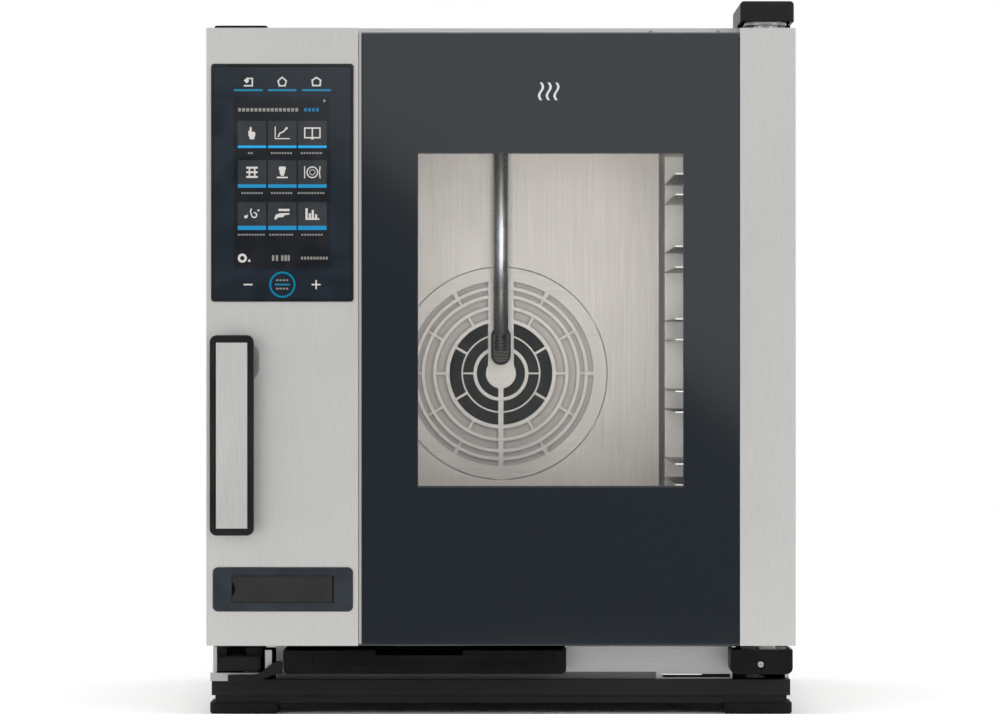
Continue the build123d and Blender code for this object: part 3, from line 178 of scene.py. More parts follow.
def brushed_stainless(name, belt, dark, light, roughness, streak_mm=0.6):
    """Brushed steel: noise that is 50 times longer along the belt than across it moves tone, gloss
    and a slight bump; a slow cloud of wiping marks moves the gloss a little more."""
    material, tree = new_material(name)
    place = add_node(tree, "ShaderNodeTexCoord", {})
    pull = [0.02 if axis == belt else 1.0 for axis in "XYZ"]
    stretch = add_node(tree, "ShaderNodeMapping", {"Vector": place.outputs["Object"], "Scale": pull})
    streaks = add_node(tree, "ShaderNodeTexNoise",
                       {"Vector": stretch.outputs["Vector"], "Scale": 1000 / streak_mm, "Detail": 3.0})
    wiping = add_node(tree, "ShaderNodeTexNoise",
                      {"Vector": place.outputs["Object"], "Scale": 5.0, "Detail": 3.0, "Distortion": 0.6})
    spread = add_node(tree, "ShaderNodeMapRange",
                      {"Value": streaks.outputs["Fac"], "From Min": 0.25, "From Max": 0.75})
    colour = add_node(tree, "ShaderNodeMixRGB",
                      {"Fac": spread.outputs["Result"], "Color1": srgb(dark), "Color2": srgb(light)})
    rough = add_node(tree, "ShaderNodeMapRange",
                     {"Value": wiping.outputs["Fac"], "From Min": 0.3, "From Max": 0.7,
                      "To Min": roughness - 0.03, "To Max": roughness + 0.04})
    bump = add_node(tree, "ShaderNodeBump",
                    {"Height": streaks.outputs["Fac"], "Strength": 0.12, "Distance": 0.00008})
    surface = add_node(tree, "ShaderNodeBsdfPrincipled",
                       {"Base Color": colour.outputs["Color"], "Metallic": 1.0,
                        "Roughness": rough.outputs["Result"], "Anisotropic": 0.35,
                        "Normal": bump.outputs["Normal"]})
    add_node(tree, "ShaderNodeOutputMaterial", {"Surface": surface.outputs["BSDF"]})
    return material


steel_across = brushed_stainless("stainless_brushed_across", "X", "b9b8b6", "cdccca", 0.34)
steel_upright = brushed_stainless("stainless_brushed_upright", "Z", "bbbab8", "cfcecc", 0.34)
steel_deep = brushed_stainless("stainless_brushed_deep", "Y", "b9b8b6", "cdccca", 0.34)
finish_nodes(steel_across, "front_frame")
# The plinth front and the tray plate take a darker, rougher copy of the brushed steel: painted shade, for the
# shade the door casts over them.
plinth_steel = brushed_stainless("stainless_plinth_painted_shade", "X", "a3a2a2", "b1b0b0", 0.38)
finish_nodes(plinth_steel, "plinth_front")
finish_nodes(steel_deep, "top_panel")
finish_nodes(steel_upright, "left_side_panel", "right_side_panel")

# ---------------------------------------------------------------------------
# Mounting block for a left-hand hinge, with the drip tray's steel plate, a grey
# strip of painted shade and a black lever beside it. Glass-filled nylon, folded
# sheet and a moulded lever, all screwed under the cabinet front.
# ---------------------------------------------------------------------------

mm = 0.001
black_nylon = grained_moulding("black_nylon", "121111", "1a1919", 0.48, 0.9, 0.1, 0.12)
finish_nodes(black_nylon, "left_lower_mount")


def put_mesh(name, points, faces, material, body, slot, smooth=False):
    """Put points (n, 3) in metres and their faces into a mesh object that rides on a CAD body."""
    mesh = bpy.data.meshes.new(name)
    mesh.from_pydata(np.asarray(points, float).tolist(), [], faces)
    mesh.materials.append(material)
    mesh.update()
    mesh.polygons.foreach_set("use_smooth", np.full(len(mesh.polygons), smooth))
    piece = bpy.data.objects.new(name, mesh)
    bpy.context.scene.collection.objects.link(piece)
    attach(piece, body)
    return piece


def soften(piece, width, segments=2):
    """Round the sharp edges of a piece by a given radius in metres."""
    bevel = piece.modifiers.new("rounding", "BEVEL")
    bevel.width = width
    bevel.segments = segments
    bevel.limit_method = "ANGLE"
    return piece


def slab(outline, front, back):
    """Plate on a front plane: an outline (n, 2) of x and z, anticlockwise as seen from the front,
    stands at y = front and again at y = back, with one quad from each edge to its copy."""
    outline = np.asarray(outline, float)
    n = len(outline)
    points = np.empty((2 * n, 3))
    points[:, 0] = np.tile(outline[:, 0], 2)
    points[:, 1] = np.repeat([front, back], n)
    points[:, 2] = np.tile(outline[:, 1], 2)
    k = np.arange(n)
    sides = np.stack([k, k + n, (k + 1) % n + n, (k + 1) % n], axis=1)
    return points, [k.tolist(), (k[::-1] + n).tolist(), *sides.tolist()]


def gather(parts):
    """Join (points, faces) pairs into one pair: each part's face numbers move up by the points
    that stand before it."""
    points = np.vstack([part[0] for part in parts])
    starts = np.cumsum([0] + [len(part[0]) for part in parts])
    faces = [[start + k for k in face] for start, part in zip(starts.tolist(), parts) for face in part[1]]
    return points, faces


def rounded_plate(left, right, low, high, radius, steps=6):
    """Outline (n, 2) of a rounded rectangle: four quarter circles round the corners, anticlockwise."""
    turn = np.linspace(0, math.pi / 2, steps)[None] + np.arange(4)[:, None] * math.pi / 2
    centre_x = np.array([right, left, left, right])[:, None] + radius * np.array([-1, 1, 1, -1])[:, None]
    centre_z = np.array([high, high, low, low])[:, None] + radius * np.array([-1, -1, 1, 1])[:, None]
    outline = np.stack([centre_x + radius * np.cos(turn), centre_z + radius * np.sin(turn)], axis=-1)
    return outline.reshape(-1, 2)


block_low, block_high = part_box("left_lower_mount")
tray_low, tray_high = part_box("drip_tray")
plinth_low, plinth_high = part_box("plinth_front")

# The plate runs along the rail from the corner and turns up between the block and the tray.
plate_left, plate_right = block_low.x - 6.6 * mm, block_high.x + 11.6 * mm
plate_low, plate_high = plinth_low.z - 0.2 * mm, plinth_high.z - 1.5 * mm
pad_right, post_left = plate_left + 16.7 * mm, plate_right - 6.4 * mm
strip_low, strip_high = plate_low + 5.9 * mm, plate_low + 7.7 * mm
plate_outline = [(plate_left, plate_low), (pad_right, plate_low), (pad_right, strip_low),
                 (post_left - 0.4 * mm, strip_low + 0.5 * mm), (post_left + 3.2 * mm, strip_low + 5.5 * mm),
                 (plate_right, strip_low + 9.6 * mm), (plate_right, plate_high), (post_left, plate_high),
                 (post_left, strip_high + 3.2 * mm), (post_left - 2.3 * mm, strip_high),
                 (plate_left, strip_high)]
plate = put_mesh("tray_plate", *slab(plate_outline, plinth_low.y - 36 * mm, plinth_low.y - 33.5 * mm),
                 plinth_steel, "cabinet", "stainless")
soften(plate, 0.3 * mm)

# A thin grey strip along the foot of the plinth, under the tray: painted shade, a grey sheet standing where
# the plinth lies in shade below the tray.
runner_outline = rounded_plate(plinth_low.x + 0.5 * mm, tray_high.x + 83 * mm, plinth_low.z + 0.2 * mm,
                               plinth_low.z + 6.2 * mm, 0.3 * mm, steps=2)
runner = put_mesh("tray_shade_strip", *slab(runner_outline, plinth_low.y - 1.4 * mm, plinth_low.y - 0.1 * mm),
                  powder_coat("painted_shade_grey_coat", "6a6a6a", "787878", 0.45, 2.0), "cabinet", "black_steel")
soften(runner, 0.2 * mm)

# The lever's centre line climbs by a half cosine from the rail to the tray's side.
lever_left = block_low.x + 10 * mm
lever_right = tray_low.x - 0.6 * mm
lever_share = np.linspace(0, 1, 32)
lever_climb = 0.5 - 0.5 * np.cos(math.pi * np.clip((lever_share - 0.45) / 0.5, 0, 1))
lever_x = lever_left + lever_share * (lever_right - lever_left)
lever_middle = plinth_low.z + 2.8 * mm + 10 * mm * lever_climb
lever_half = 3.1 * mm + 2.7 * mm * lever_climb
lever_outline = np.concatenate([np.stack([lever_x, lever_middle - lever_half], axis=1),
                                np.stack([lever_x, lever_middle + lever_half], axis=1)[::-1]])
lever = put_mesh("tray_lever", *slab(lever_outline, tray_low.y + 1 * mm, tray_low.y + 6 * mm),
                 black_nylon, "tray", "black_plastic")
soften(lever, 0.8 * mm)

# ---------------------------------------------------------------------------
# Drip tray. Injection-moulded black polypropylene, slid in under the door.
# Its satin skin is a warm black, with a fine matte grain.
# ---------------------------------------------------------------------------

finish_nodes(grained_moulding("black_polypropylene", "0e0d0d", "151413", 0.45, 1.1, 0.08, 0.05), "drip_tray")

# ---------------------------------------------------------------------------
# Cooking cavity, its frame and the wool round it. The liner is bright-rolled
# AISI 304, welded and pickled, so it is softer and warmer than the outside.
# ---------------------------------------------------------------------------

cavity_steel = brushed_stainless("stainless_pickled", "Z", "b5b0aa", "c4bfb9", 0.46, 1.2)
finish_nodes(cavity_steel, "cavity_liner", "air_baffle")


def mineral_wool(name):
    """Pressed mineral wool: tangled fibres give a woolly, matte, mottled yellow-grey."""
    material, tree = new_material(name)
    place = add_node(tree, "ShaderNodeTexCoord", {})
    fibre = add_node(tree, "ShaderNodeTexNoise",
                     {"Vector": place.outputs["Object"], "Scale": 420.0, "Detail": 6.0, "Distortion": 2.0})
    spread = add_node(tree, "ShaderNodeMapRange",
                      {"Value": fibre.outputs["Fac"], "From Min": 0.35, "From Max": 0.65})
    colour = add_node(tree, "ShaderNodeMixRGB",
                      {"Fac": spread.outputs["Result"], "Color1": srgb("8f8660"), "Color2": srgb("b9b08a")})
    bump = add_node(tree, "ShaderNodeBump", {"Height": fibre.outputs["Fac"], "Distance": 0.002})
    surface = add_node(tree, "ShaderNodeBsdfPrincipled",
                       {"Base Color": colour.outputs["Color"], "Roughness": 0.95,
                        "Normal": bump.outputs["Normal"]})
    add_node(tree, "ShaderNodeOutputMaterial", {"Surface": surface.outputs["BSDF"]})
    return material


finish_nodes(mineral_wool("mineral_wool"), "cavity_insulation")

# ---------------------------------------------------------------------------
# Door seal. Extruded black silicone, pressed into the frame round the cavity.
# Silicone is smooth and soft, with a faint dusty bloom.
# ---------------------------------------------------------------------------

finish_nodes(grained_moulding("silicone_rubber", "141416", "1e1e20", 0.55, 2.5, 0.05, 0.12), "door_seal")

# ---------------------------------------------------------------------------
# Fan guard, wheel, shaft, heater and motor. The guard is laser cut and
# electropolished, the wheel is dark round its hub, the heater's sheath is
# coloured by heat, and the motor is enamelled.
# ---------------------------------------------------------------------------

finish_nodes(brushed_stainless("stainless_electropolished", "X", "aca8a2", "bab5af", 0.42, 1.2), "fan_guard")


def sooted_steel(name, hub, clean):
    """Fan wheel steel: dark and rough round the hub, turning light at the ring plate with a ragged
    edge; the tone follows the distance from the shaft."""
    material, tree = new_material(name)
    place = add_node(tree, "ShaderNodeTexCoord", {})
    flat = add_node(tree, "ShaderNodeVectorMath", {0: place.outputs["Object"], 1: (1.0, 0.0, 1.0)},
                    operation="MULTIPLY")
    reach = add_node(tree, "ShaderNodeVectorMath", {0: flat.outputs["Vector"], 1: (hub[0], 0.0, hub[1])},
                     operation="DISTANCE")
    ragged = add_node(tree, "ShaderNodeTexNoise", {"Vector": place.outputs["Object"], "Scale": 300.0})
    edge = add_node(tree, "ShaderNodeMath", {0: ragged.outputs["Fac"], 1: 0.003, 2: reach.outputs["Value"]},
                    operation="MULTIPLY_ADD")
    share = add_node(tree, "ShaderNodeMapRange",
                     {"Value": edge.outputs["Value"], "From Min": clean - 0.001, "From Max": clean + 0.004})
    colour = add_node(tree, "ShaderNodeMixRGB",
                      {"Fac": share.outputs["Result"], "Color1": srgb("3d3834"), "Color2": srgb("9c9792")})
    rough = add_node(tree, "ShaderNodeMapRange",
                     {"Value": share.outputs["Result"], "To Min": 0.7, "To Max": 0.44})
    surface = add_node(tree, "ShaderNodeBsdfPrincipled",
                       {"Base Color": colour.outputs["Color"], "Metallic": 1.0,
                        "Roughness": rough.outputs["Result"]})
    add_node(tree, "ShaderNodeOutputMaterial", {"Surface": surface.outputs["BSDF"]})
    return material


shaft_low, shaft_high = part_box("fan_shaft")
shaft_centre = ((shaft_low.x + shaft_high.x) / 2, (shaft_low.z + shaft_high.z) / 2)
finish_nodes(sooted_steel("stainless_dark_hub", shaft_centre, 0.053), "fan_wheel")


def turned_metal(name, dark, light, roughness):
    """Turned or milled metal: wavy bands of tool marks about 3 mm apart, wider than the real ones."""
    material, tree = new_material(name)
    place = add_node(tree, "ShaderNodeTexCoord", {})
    marks = add_node(tree, "ShaderNodeTexWave",
                     {"Vector": place.outputs["Object"], "Scale": 100.0, "Distortion": 1.5, "Detail": 2.0},
                     wave_type="BANDS", bands_direction="Z")
    colour = add_node(tree, "ShaderNodeMixRGB",
                      {"Fac": marks.outputs["Fac"], "Color1": srgb(dark), "Color2": srgb(light)})
    rough = add_node(tree, "ShaderNodeMapRange",
                     {"Value": marks.outputs["Fac"], "To Min": roughness - 0.04, "To Max": roughness + 0.04})
    bump = add_node(tree, "ShaderNodeBump",
                    {"Height": marks.outputs["Fac"], "Strength": 0.1, "Distance": 0.0001})
    surface = add_node(tree, "ShaderNodeBsdfPrincipled",
                       {"Base Color": colour.outputs["Color"], "Metallic": 1.0,
                        "Roughness": rough.outputs["Result"], "Normal": bump.outputs["Normal"]})
    add_node(tree, "ShaderNodeOutputMaterial", {"Surface": surface.outputs["BSDF"]})
    return material


zinc_plate = turned_metal("zinc_plated_steel", "8f9092", "a9aaab", 0.32)
finish_nodes(zinc_plate, "fan_shaft")
finish_nodes(turned_metal("heat_tinted_sheath", "4b4340", "6a5d55", 0.4), "heating_element")
finish_nodes(powder_coat("motor_enamel", "303234", "3c3f41", 0.42, 1.5), "fan_motor")

# ---------------------------------------------------------------------------
# Steam tube and its holder, in front of the guard. The tube is drawn and
# polished; the holder is a dark investment casting.
# ---------------------------------------------------------------------------


def polished_tube(name):
    """Polished stainless under a faint haze of steam: no grain left, only slow waves from the wheel."""
    material, tree = new_material(name)
    place = add_node(tree, "ShaderNodeTexCoord", {})
    waves = add_node(tree, "ShaderNodeTexNoise", {"Vector": place.outputs["Object"], "Scale": 60.0})
    spread = add_node(tree, "ShaderNodeMapRange",
                      {"Value": waves.outputs["Fac"], "From Min": 0.3, "From Max": 0.7})
    colour = add_node(tree, "ShaderNodeMixRGB",
                      {"Fac": spread.outputs["Result"], "Color1": srgb("c2c6cb"), "Color2": srgb("d4d7db")})
    rough = add_node(tree, "ShaderNodeMapRange",
                     {"Value": spread.outputs["Result"], "To Min": 0.26, "To Max": 0.32})
    surface = add_node(tree, "ShaderNodeBsdfPrincipled",
                       {"Base Color": colour.outputs["Color"], "Metallic": 1.0,
                        "Roughness": rough.outputs["Result"]})
    add_node(tree, "ShaderNodeOutputMaterial", {"Surface": surface.outputs["BSDF"]})
    return material


def carry_profile(ring, centre, along):
    """Surface of a profile carried along a path: point (i, j) is path point i plus profile point j,
    which lies in x and y; both ends are closed by one face each."""
    grid = np.empty((len(along), len(ring), 3))
    grid[..., 0] = centre[0] + ring[None, :, 0]
    grid[..., 1] = centre[1] + ring[None, :, 1]
    grid[..., 2] = np.asarray(along)[:, None]
    rows, across = grid.shape[:2]
    i, j = np.meshgrid(np.arange(rows - 1), np.arange(across), indexing="ij")
    after = (j + 1) % across
    quads = np.stack([i * across + j, i * across + after, (i + 1) * across + after, (i + 1) * across + j], -1)
    ends = [list(range(across))[::-1], list(range((rows - 1) * across, rows * across))]
    return grid.reshape(-1, 3), quads.reshape(-1, 4).tolist() + ends


tube_low, tube_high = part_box("steam_tube")
tube_centre = ((tube_low.x + tube_high.x) / 2, (tube_low.y + tube_high.y) / 2)
tube_radius = (tube_high.x - tube_low.x) / 2
tube_turn = np.linspace(0, 2 * math.pi, 64, endpoint=False)
tube_ring = tube_radius * np.stack([np.cos(tube_turn), np.sin(tube_turn)], axis=1)
tube_steps = np.linspace(tube_low.z + 3 * mm, tube_high.z, 3)
steam_tube = put_mesh("steam_tube_drawn", *carry_profile(tube_ring, tube_centre, tube_steps),
                      polished_tube("polished_stainless"), "cabinet", "polished_steel", smooth=True)
steam_tube.data.polygons.foreach_set("use_smooth", np.arange(len(steam_tube.data.polygons))
                                     < len(steam_tube.data.polygons) - 2)
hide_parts("steam_tube")
finish_nodes(turned_metal("dark_casting", "2b2825", "3c3835", 0.3), "steam_tube_holder")

# ---------------------------------------------------------------------------
# Tray racks. Stainless channels spot-welded to uprights, one pair for every
# level, hung on studs in the cavity wall.
# ---------------------------------------------------------------------------

rack_steel = brushed_stainless("stainless_rack", "Y", "acaaa6", "bab8b4", 0.4, 1.0)
finish_nodes(rack_steel, "left_rack", "right_rack")

# ---------------------------------------------------------------------------
# Pipes and services: drain, exhaust with its damper, water valve, cable
# gland, cooling fan and circuit boards. Mostly hidden behind the skin.
# ---------------------------------------------------------------------------


def solder_mask(name):
    """Green solder mask over copper: tracks under it show as slightly lighter stripes."""
    material, tree = new_material(name)
    place = add_node(tree, "ShaderNodeTexCoord", {})
    tracks = add_node(tree, "ShaderNodeTexBrick",
                      {"Vector": place.outputs["Object"], "Scale": 90.0, "Color1": srgb("0f4a2c"),
                       "Color2": srgb("14573a"), "Mortar": srgb("2a7a50"), "Mortar Size": 0.03})
    surface = add_node(tree, "ShaderNodeBsdfPrincipled",
                       {"Base Color": tracks.outputs["Color"], "Roughness": 0.35})
    add_node(tree, "ShaderNodeOutputMaterial", {"Surface": surface.outputs["BSDF"]})
    return material


finish_nodes(steel_deep, "cavity_drain", "exhaust_pipe", "exhaust_damper")
finish_nodes(turned_metal("turned_brass", "a8874a", "c7a765", 0.3), "water_valve", "hinge_bushes")
finish_nodes(black_nylon, "cable_gland", "damper_motor", "cooling_fan_frame", "cooling_fan_rotor")
finish_nodes(solder_mask("solder_mask"), "power_board", "control_board")

# ---------------------------------------------------------------------------
# Hinges, latch and covers. Zinc-plated brackets, pins and bolt; the covers
# are black nylon caps, and a sunk screw holds the lower one.
# ---------------------------------------------------------------------------

finish_nodes(grained_moulding("cover_nylon", "0f0e0e", "161515", 0.42, 0.8, 0.08, 0.08),
             "lower_hinge_cover", "left_hinge_cap")
# The upper cover takes a lighter copy of the cover nylon, with a little more gloss.
finish_nodes(grained_moulding("cover_nylon_lighter", "181717", "201f1f", 0.42, 0.8, 0.08, 0.14),
             "upper_hinge_cover")
finish_nodes(zinc_plate, "upper_hinge_bracket", "lower_hinge_bracket", "hinge_pins", "latch_keeper",
             "latch_bolt", "handle_shaft", "usb_port", "cabinet_screws")

# ---------------------------------------------------------------------------
# Door frame with its inner and middle panes. A folded stainless tub carries
# clear tempered glass that the fingers have wiped here and there.
# ---------------------------------------------------------------------------

finish_nodes(brushed_stainless("stainless_door_tub", "Z", "aeaba7", "bfbcb8", 0.4, 1.0), "door_frame")


def tempered_pane(name, tint, veil):
    """Tempered glass: nearly clear, a thin tint, and faint wiping marks in its gloss and veil."""
    material, tree = new_material(name)
    place = add_node(tree, "ShaderNodeTexCoord", {})
    wipe = add_node(tree, "ShaderNodeTexNoise",
                    {"Vector": place.outputs["Object"], "Scale": 7.0, "Detail": 3.0, "Distortion": 1.2})
    rough = add_node(tree, "ShaderNodeMapRange",
                     {"Value": wipe.outputs["Fac"], "To Min": 0.02, "To Max": 0.07})
    cover = add_node(tree, "ShaderNodeMapRange",
                     {"Value": wipe.outputs["Fac"], "To Min": veil * 0.9, "To Max": veil * 1.1})
    surface = add_node(tree, "ShaderNodeBsdfPrincipled",
                       {"Base Color": srgb(tint), "Roughness": rough.outputs["Result"],
                        "Alpha": cover.outputs["Result"], "IOR": 1.52})
    add_node(tree, "ShaderNodeOutputMaterial", {"Surface": surface.outputs["BSDF"]})
    return material


finish_nodes(tempered_pane("tempered_glass_clear", "8d9496", 0.035), "inner_glass", "middle_glass")

# ---------------------------------------------------------------------------
# Outer glass. One tempered pane, with dark ceramic enamel printed on its back
# all round a clear window. Deep, glossy, blue-black.
# ---------------------------------------------------------------------------


def enamelled_glass(name):
    """Ceramic enamel under glass: blue-black, a slow change of tone, and the pane's own faint waves."""
    material, tree = new_material(name)
    place = add_node(tree, "ShaderNodeTexCoord", {})
    tone = add_node(tree, "ShaderNodeTexNoise",
                    {"Vector": place.outputs["Object"], "Scale": 2.2, "Detail": 2.0})
    roller = add_node(tree, "ShaderNodeTexNoise",
                      {"Vector": place.outputs["Object"], "Scale": 6.0, "Detail": 1.0})
    colour = add_node(tree, "ShaderNodeMixRGB",
                      {"Fac": tone.outputs["Fac"], "Color1": srgb("181e23"), "Color2": srgb("1c2227")})
    rough = add_node(tree, "ShaderNodeMapRange",
                     {"Value": roller.outputs["Fac"], "To Min": 0.04, "To Max": 0.09})
    surface = add_node(tree, "ShaderNodeBsdfPrincipled",
                       {"Base Color": colour.outputs["Color"], "Roughness": rough.outputs["Result"],
                        "IOR": 1.52})
    add_node(tree, "ShaderNodeOutputMaterial", {"Surface": surface.outputs["BSDF"]})
    return material


def frame_ring(outer, inner, front, back, ease):
    """Flat frame: a six-point section (front face with an eased edge each side, then the back) is
    carried round four corners, each point moving straight from the outer corner to the inner one."""
    share = np.array([0.0, ease / 50, 1 - ease / 50, 1.0, 1.0, 0.0])
    run = np.array([front + ease * mm, front, front, front + ease * mm, back, back])
    corner = [0, 1, 1, 0], [2, 2, 3, 3]
    outside = np.array(outer)[np.array(corner)].T
    inside = np.array(inner)[np.array(corner)].T
    place = outside[:, None] * (1 - share)[None, :, None] + inside[:, None] * share[None, :, None]
    points = np.stack([place[..., 0], np.broadcast_to(run, place.shape[:2]), place[..., 1]], axis=-1)
    i, j = np.meshgrid(np.arange(4), np.arange(6), indexing="ij")
    quads = np.stack([i * 6 + j, (i + 1) % 4 * 6 + j, (i + 1) % 4 * 6 + (j + 1) % 6, i * 6 + (j + 1) % 6], -1)
    return points.reshape(-1, 3), quads.reshape(-1, 4).tolist()


glass_low, glass_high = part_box("outer_glass")
side_margin, top_margin, bottom_margin = 51 * mm, 110 * mm, 144.7 * mm
window = (glass_low.x + side_margin, glass_high.x - side_margin,
          glass_low.z + bottom_margin, glass_high.z - top_margin)
pane = (glass_low.x, glass_high.x, glass_low.z, glass_high.z)
border = put_mesh("glass_border", *frame_ring(pane, window, glass_low.y, glass_high.y, 0.5),
                  enamelled_glass("ceramic_enamel_under_glass"), "door", "tinted_glass")
window_outline = rounded_plate(*window, 0.1 * mm, steps=2)
put_mesh("glass_window", *slab(window_outline, glass_low.y + 0.3 * mm, glass_low.y + 4.5 * mm),
         tempered_pane("tempered_glass_tinted", "3c4042", 0.08), "door", "tinted_glass")
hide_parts("outer_glass")

# Three plain steam waves are printed near the top of the pane: each is a ribbon of constant width
# round one period of a sine that climbs.
wave_step, wave_sway, wave_half, ink_depth = 7 * mm, 1.7 * mm, 1.1 * mm, 0.04 * mm
wave_rise = np.linspace(-1, 1, 24)
wave_z = glass_high.z - 53.5 * mm + 8 * mm * wave_rise
waves = []
for place in (-1, 0, 1):
    wave_x = glass_low.x + 169.5 * mm + place * wave_step + wave_sway * np.sin(math.pi * wave_rise)
    wave_right = np.stack([wave_x + wave_half, wave_z], axis=1)
    wave_left = np.stack([wave_x - wave_half, wave_z], axis=1)
    waves.append(slab(np.concatenate([wave_right, wave_left[::-1]]), glass_low.y - ink_depth, glass_low.y))
wave_ink = grained_moulding("screen_printed_ink", "c2c4c5", "ced0d1", 0.45, 0.4, 0.01)
put_mesh("glass_waves", *gather(waves), wave_ink, "door", "tinted_glass")

# ---------------------------------------------------------------------------
# Door columns. Brushed stainless covers, folded over the door's two edges,
# with the grain upright.
# ---------------------------------------------------------------------------

column_steel = brushed_stainless("stainless_door_column", "Z", "c0bfbd", "cccbc9", 0.36, 0.5)
finish_nodes(column_steel, "left_column", "right_column")

# ---------------------------------------------------------------------------
# Touch panel. A gloss black ABS frame round a sheet of dark blue cover glass;
# a lit colour display stands behind its middle.
# ---------------------------------------------------------------------------


def gloss_moulding(name, dark, light, roughness):
    """Polished ABS or cover glass: a deep colour under a mirror skin with a trace of hand wiping."""
    material, tree = new_material(name)
    place = add_node(tree, "ShaderNodeTexCoord", {})
    wiping = add_node(tree, "ShaderNodeTexNoise",
                      {"Vector": place.outputs["Object"], "Scale": 24.0, "Detail": 4.0, "Distortion": 1.0})
    spread = add_node(tree, "ShaderNodeMapRange",
                      {"Value": wiping.outputs["Fac"], "From Min": 0.35, "From Max": 0.65})
    colour = add_node(tree, "ShaderNodeMixRGB",
                      {"Fac": spread.outputs["Result"], "Color1": srgb(dark), "Color2": srgb(light)})
    rough = add_node(tree, "ShaderNodeMapRange",
                     {"Value": spread.outputs["Result"], "To Min": roughness, "To Max": roughness + 0.06})
    surface = add_node(tree, "ShaderNodeBsdfPrincipled",
                       {"Base Color": colour.outputs["Color"], "Roughness": rough.outputs["Result"],
                        "IOR": 1.5})
    add_node(tree, "ShaderNodeOutputMaterial", {"Surface": surface.outputs["BSDF"]})
    return material


def lit_pixels(name, low, high, glow):
    """Lit part of the display: its colour glows, stepped by the display's rows, drawn 1.2 mm apart."""
    material, tree = new_material(name)
    place = add_node(tree, "ShaderNodeTexCoord", {})
    rows = add_node(tree, "ShaderNodeTexWave", {"Vector": place.outputs["Object"], "Scale": 260.0},
                    wave_type="BANDS", bands_direction="Z")
    colour = add_node(tree, "ShaderNodeMixRGB",
                      {"Fac": rows.outputs["Fac"], "Color1": srgb(low), "Color2": srgb(high)})
    surface = add_node(tree, "ShaderNodeBsdfPrincipled",
                       {"Base Color": srgb("080a0c"), "Roughness": 0.12,
                        "Emission Color": colour.outputs["Color"], "Emission Strength": glow})
    add_node(tree, "ShaderNodeOutputMaterial", {"Surface": surface.outputs["BSDF"]})
    return material


finish_nodes(gloss_moulding("abs_gloss_black", "060708", "0a0b0d", 0.12), "touch_frame")
finish_nodes(gloss_moulding("cover_glass_blue", "131c24", "161f28", 0.07), "touch_glass")
finish_nodes(gloss_moulding("display_glass", "0d0e10", "111214", 0.1), "display_module")

panel_low, panel_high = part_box("touch_frame")
cover_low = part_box("touch_glass")[0]


def on_panel(outline, layer):
    """Thin plate on the cover glass: an outline (n, 2) in millimetres from the panel's top left corner,
    x to the right and z down, lifted one layer of ink after another."""
    outline = np.asarray(outline, float)
    spot = np.stack([panel_low.x + outline[:, 0] * mm, panel_high.z - outline[:, 1] * mm], axis=1)
    twice_area = np.sum(spot[:, 0] * np.roll(spot[:, 1], -1) - np.roll(spot[:, 0], -1) * spot[:, 1])
    spot = spot if twice_area > 0 else spot[::-1]
    return slab(spot, cover_low.y - ink_depth * layer, cover_low.y - ink_depth * (layer - 1))


def bar(left, top, right, bottom, radius=0.15):
    """Outline of a rounded bar between two x and two z limits."""
    return rounded_plate(left, right, top, bottom, radius, steps=3)


def disc(x, z, radius, steps=24):
    """Outline of a circle."""
    turn = np.linspace(0, 2 * math.pi, steps, endpoint=False)
    return np.stack([x + radius * np.cos(turn), z + radius * np.sin(turn)], axis=1)


def strokes(path, width):
    """Bars of one width along the straight runs of a path, each reaching half a width past its ends."""
    path = np.asarray(path, float)
    start, end = path[:-1], path[1:]
    along = (end - start) / np.linalg.norm(end - start, axis=1, keepdims=True) * width / 2
    side = np.stack([-along[:, 1], along[:, 0]], axis=1)
    low, high = start - along, end + along
    return list(np.stack([low - side, high - side, high + side, low + side], axis=1))


def arc(x, z, radius, first, last, steps=20):
    """Points on a circle between two angles in degrees, 0 to the right and 90 down."""
    turn = np.radians(np.linspace(first, last, steps))
    return np.stack([x + radius * np.cos(turn), z + radius * np.sin(turn)], axis=1)


def move(outlines, x, z):
    """Carry a list of outlines to a centre."""
    return [np.asarray(outline, float) + (x, z) for outline in outlines]


def put_marks(name, outlines, layer, material):
    """Make one piece of many thin plates on the cover glass."""
    return put_mesh(name, *gather([on_panel(outline, layer) for outline in outlines]), material,
                    "door", "panel_glass")


screen_left, screen_right, screen_top, screen_bottom = 20.7, 107.9, 30.1, 185.7
tile_columns = [(24.3, 50.0), (51.7, 77.5), (78.9, 104.8)]
tile_rows = [(51.8, 74.0), (87.5, 109.3), (125.4, 146.9)]
tile_bars = [(74.2, 76.4), (109.3, 112.5), (146.9, 150.7)]
key_columns = [(20.7, 47.0), (51.5, 77.5), (82.4, 108.7)]
key_row, key_bar_top, key_bar_bottom = 16.4, 23.1, 24.9
home_x, lower_row = 64.7, 200.2
title_top, title_bottom = 40.2, 43.4
caption_rows = (81.0, 117.2, 155.0)

screen_face = gloss_moulding("display_backlit_black", "101419", "13161b", 0.07)
tile_face = gloss_moulding("display_tile_grey", "2a2d31", "2e3135", 0.07)
warm_white = lit_pixels("display_warm_white", "d8d4ce", "efebe5", 0.85)
dim_white = lit_pixels("display_dim_white", "8d8b88", "b3b0ac", 0.75)
bright_blue = lit_pixels("display_bright_blue", "14aaf0", "20bdf8", 0.9)
middle_blue = lit_pixels("display_middle_blue", "1788bd", "1d9bd2", 0.9)
key_blue = lit_pixels("key_backlight_blue", "107aa0", "1587ae", 0.9)
faint_blue = lit_pixels("display_faint_blue", "1d6f9c", "2584b5", 0.8)

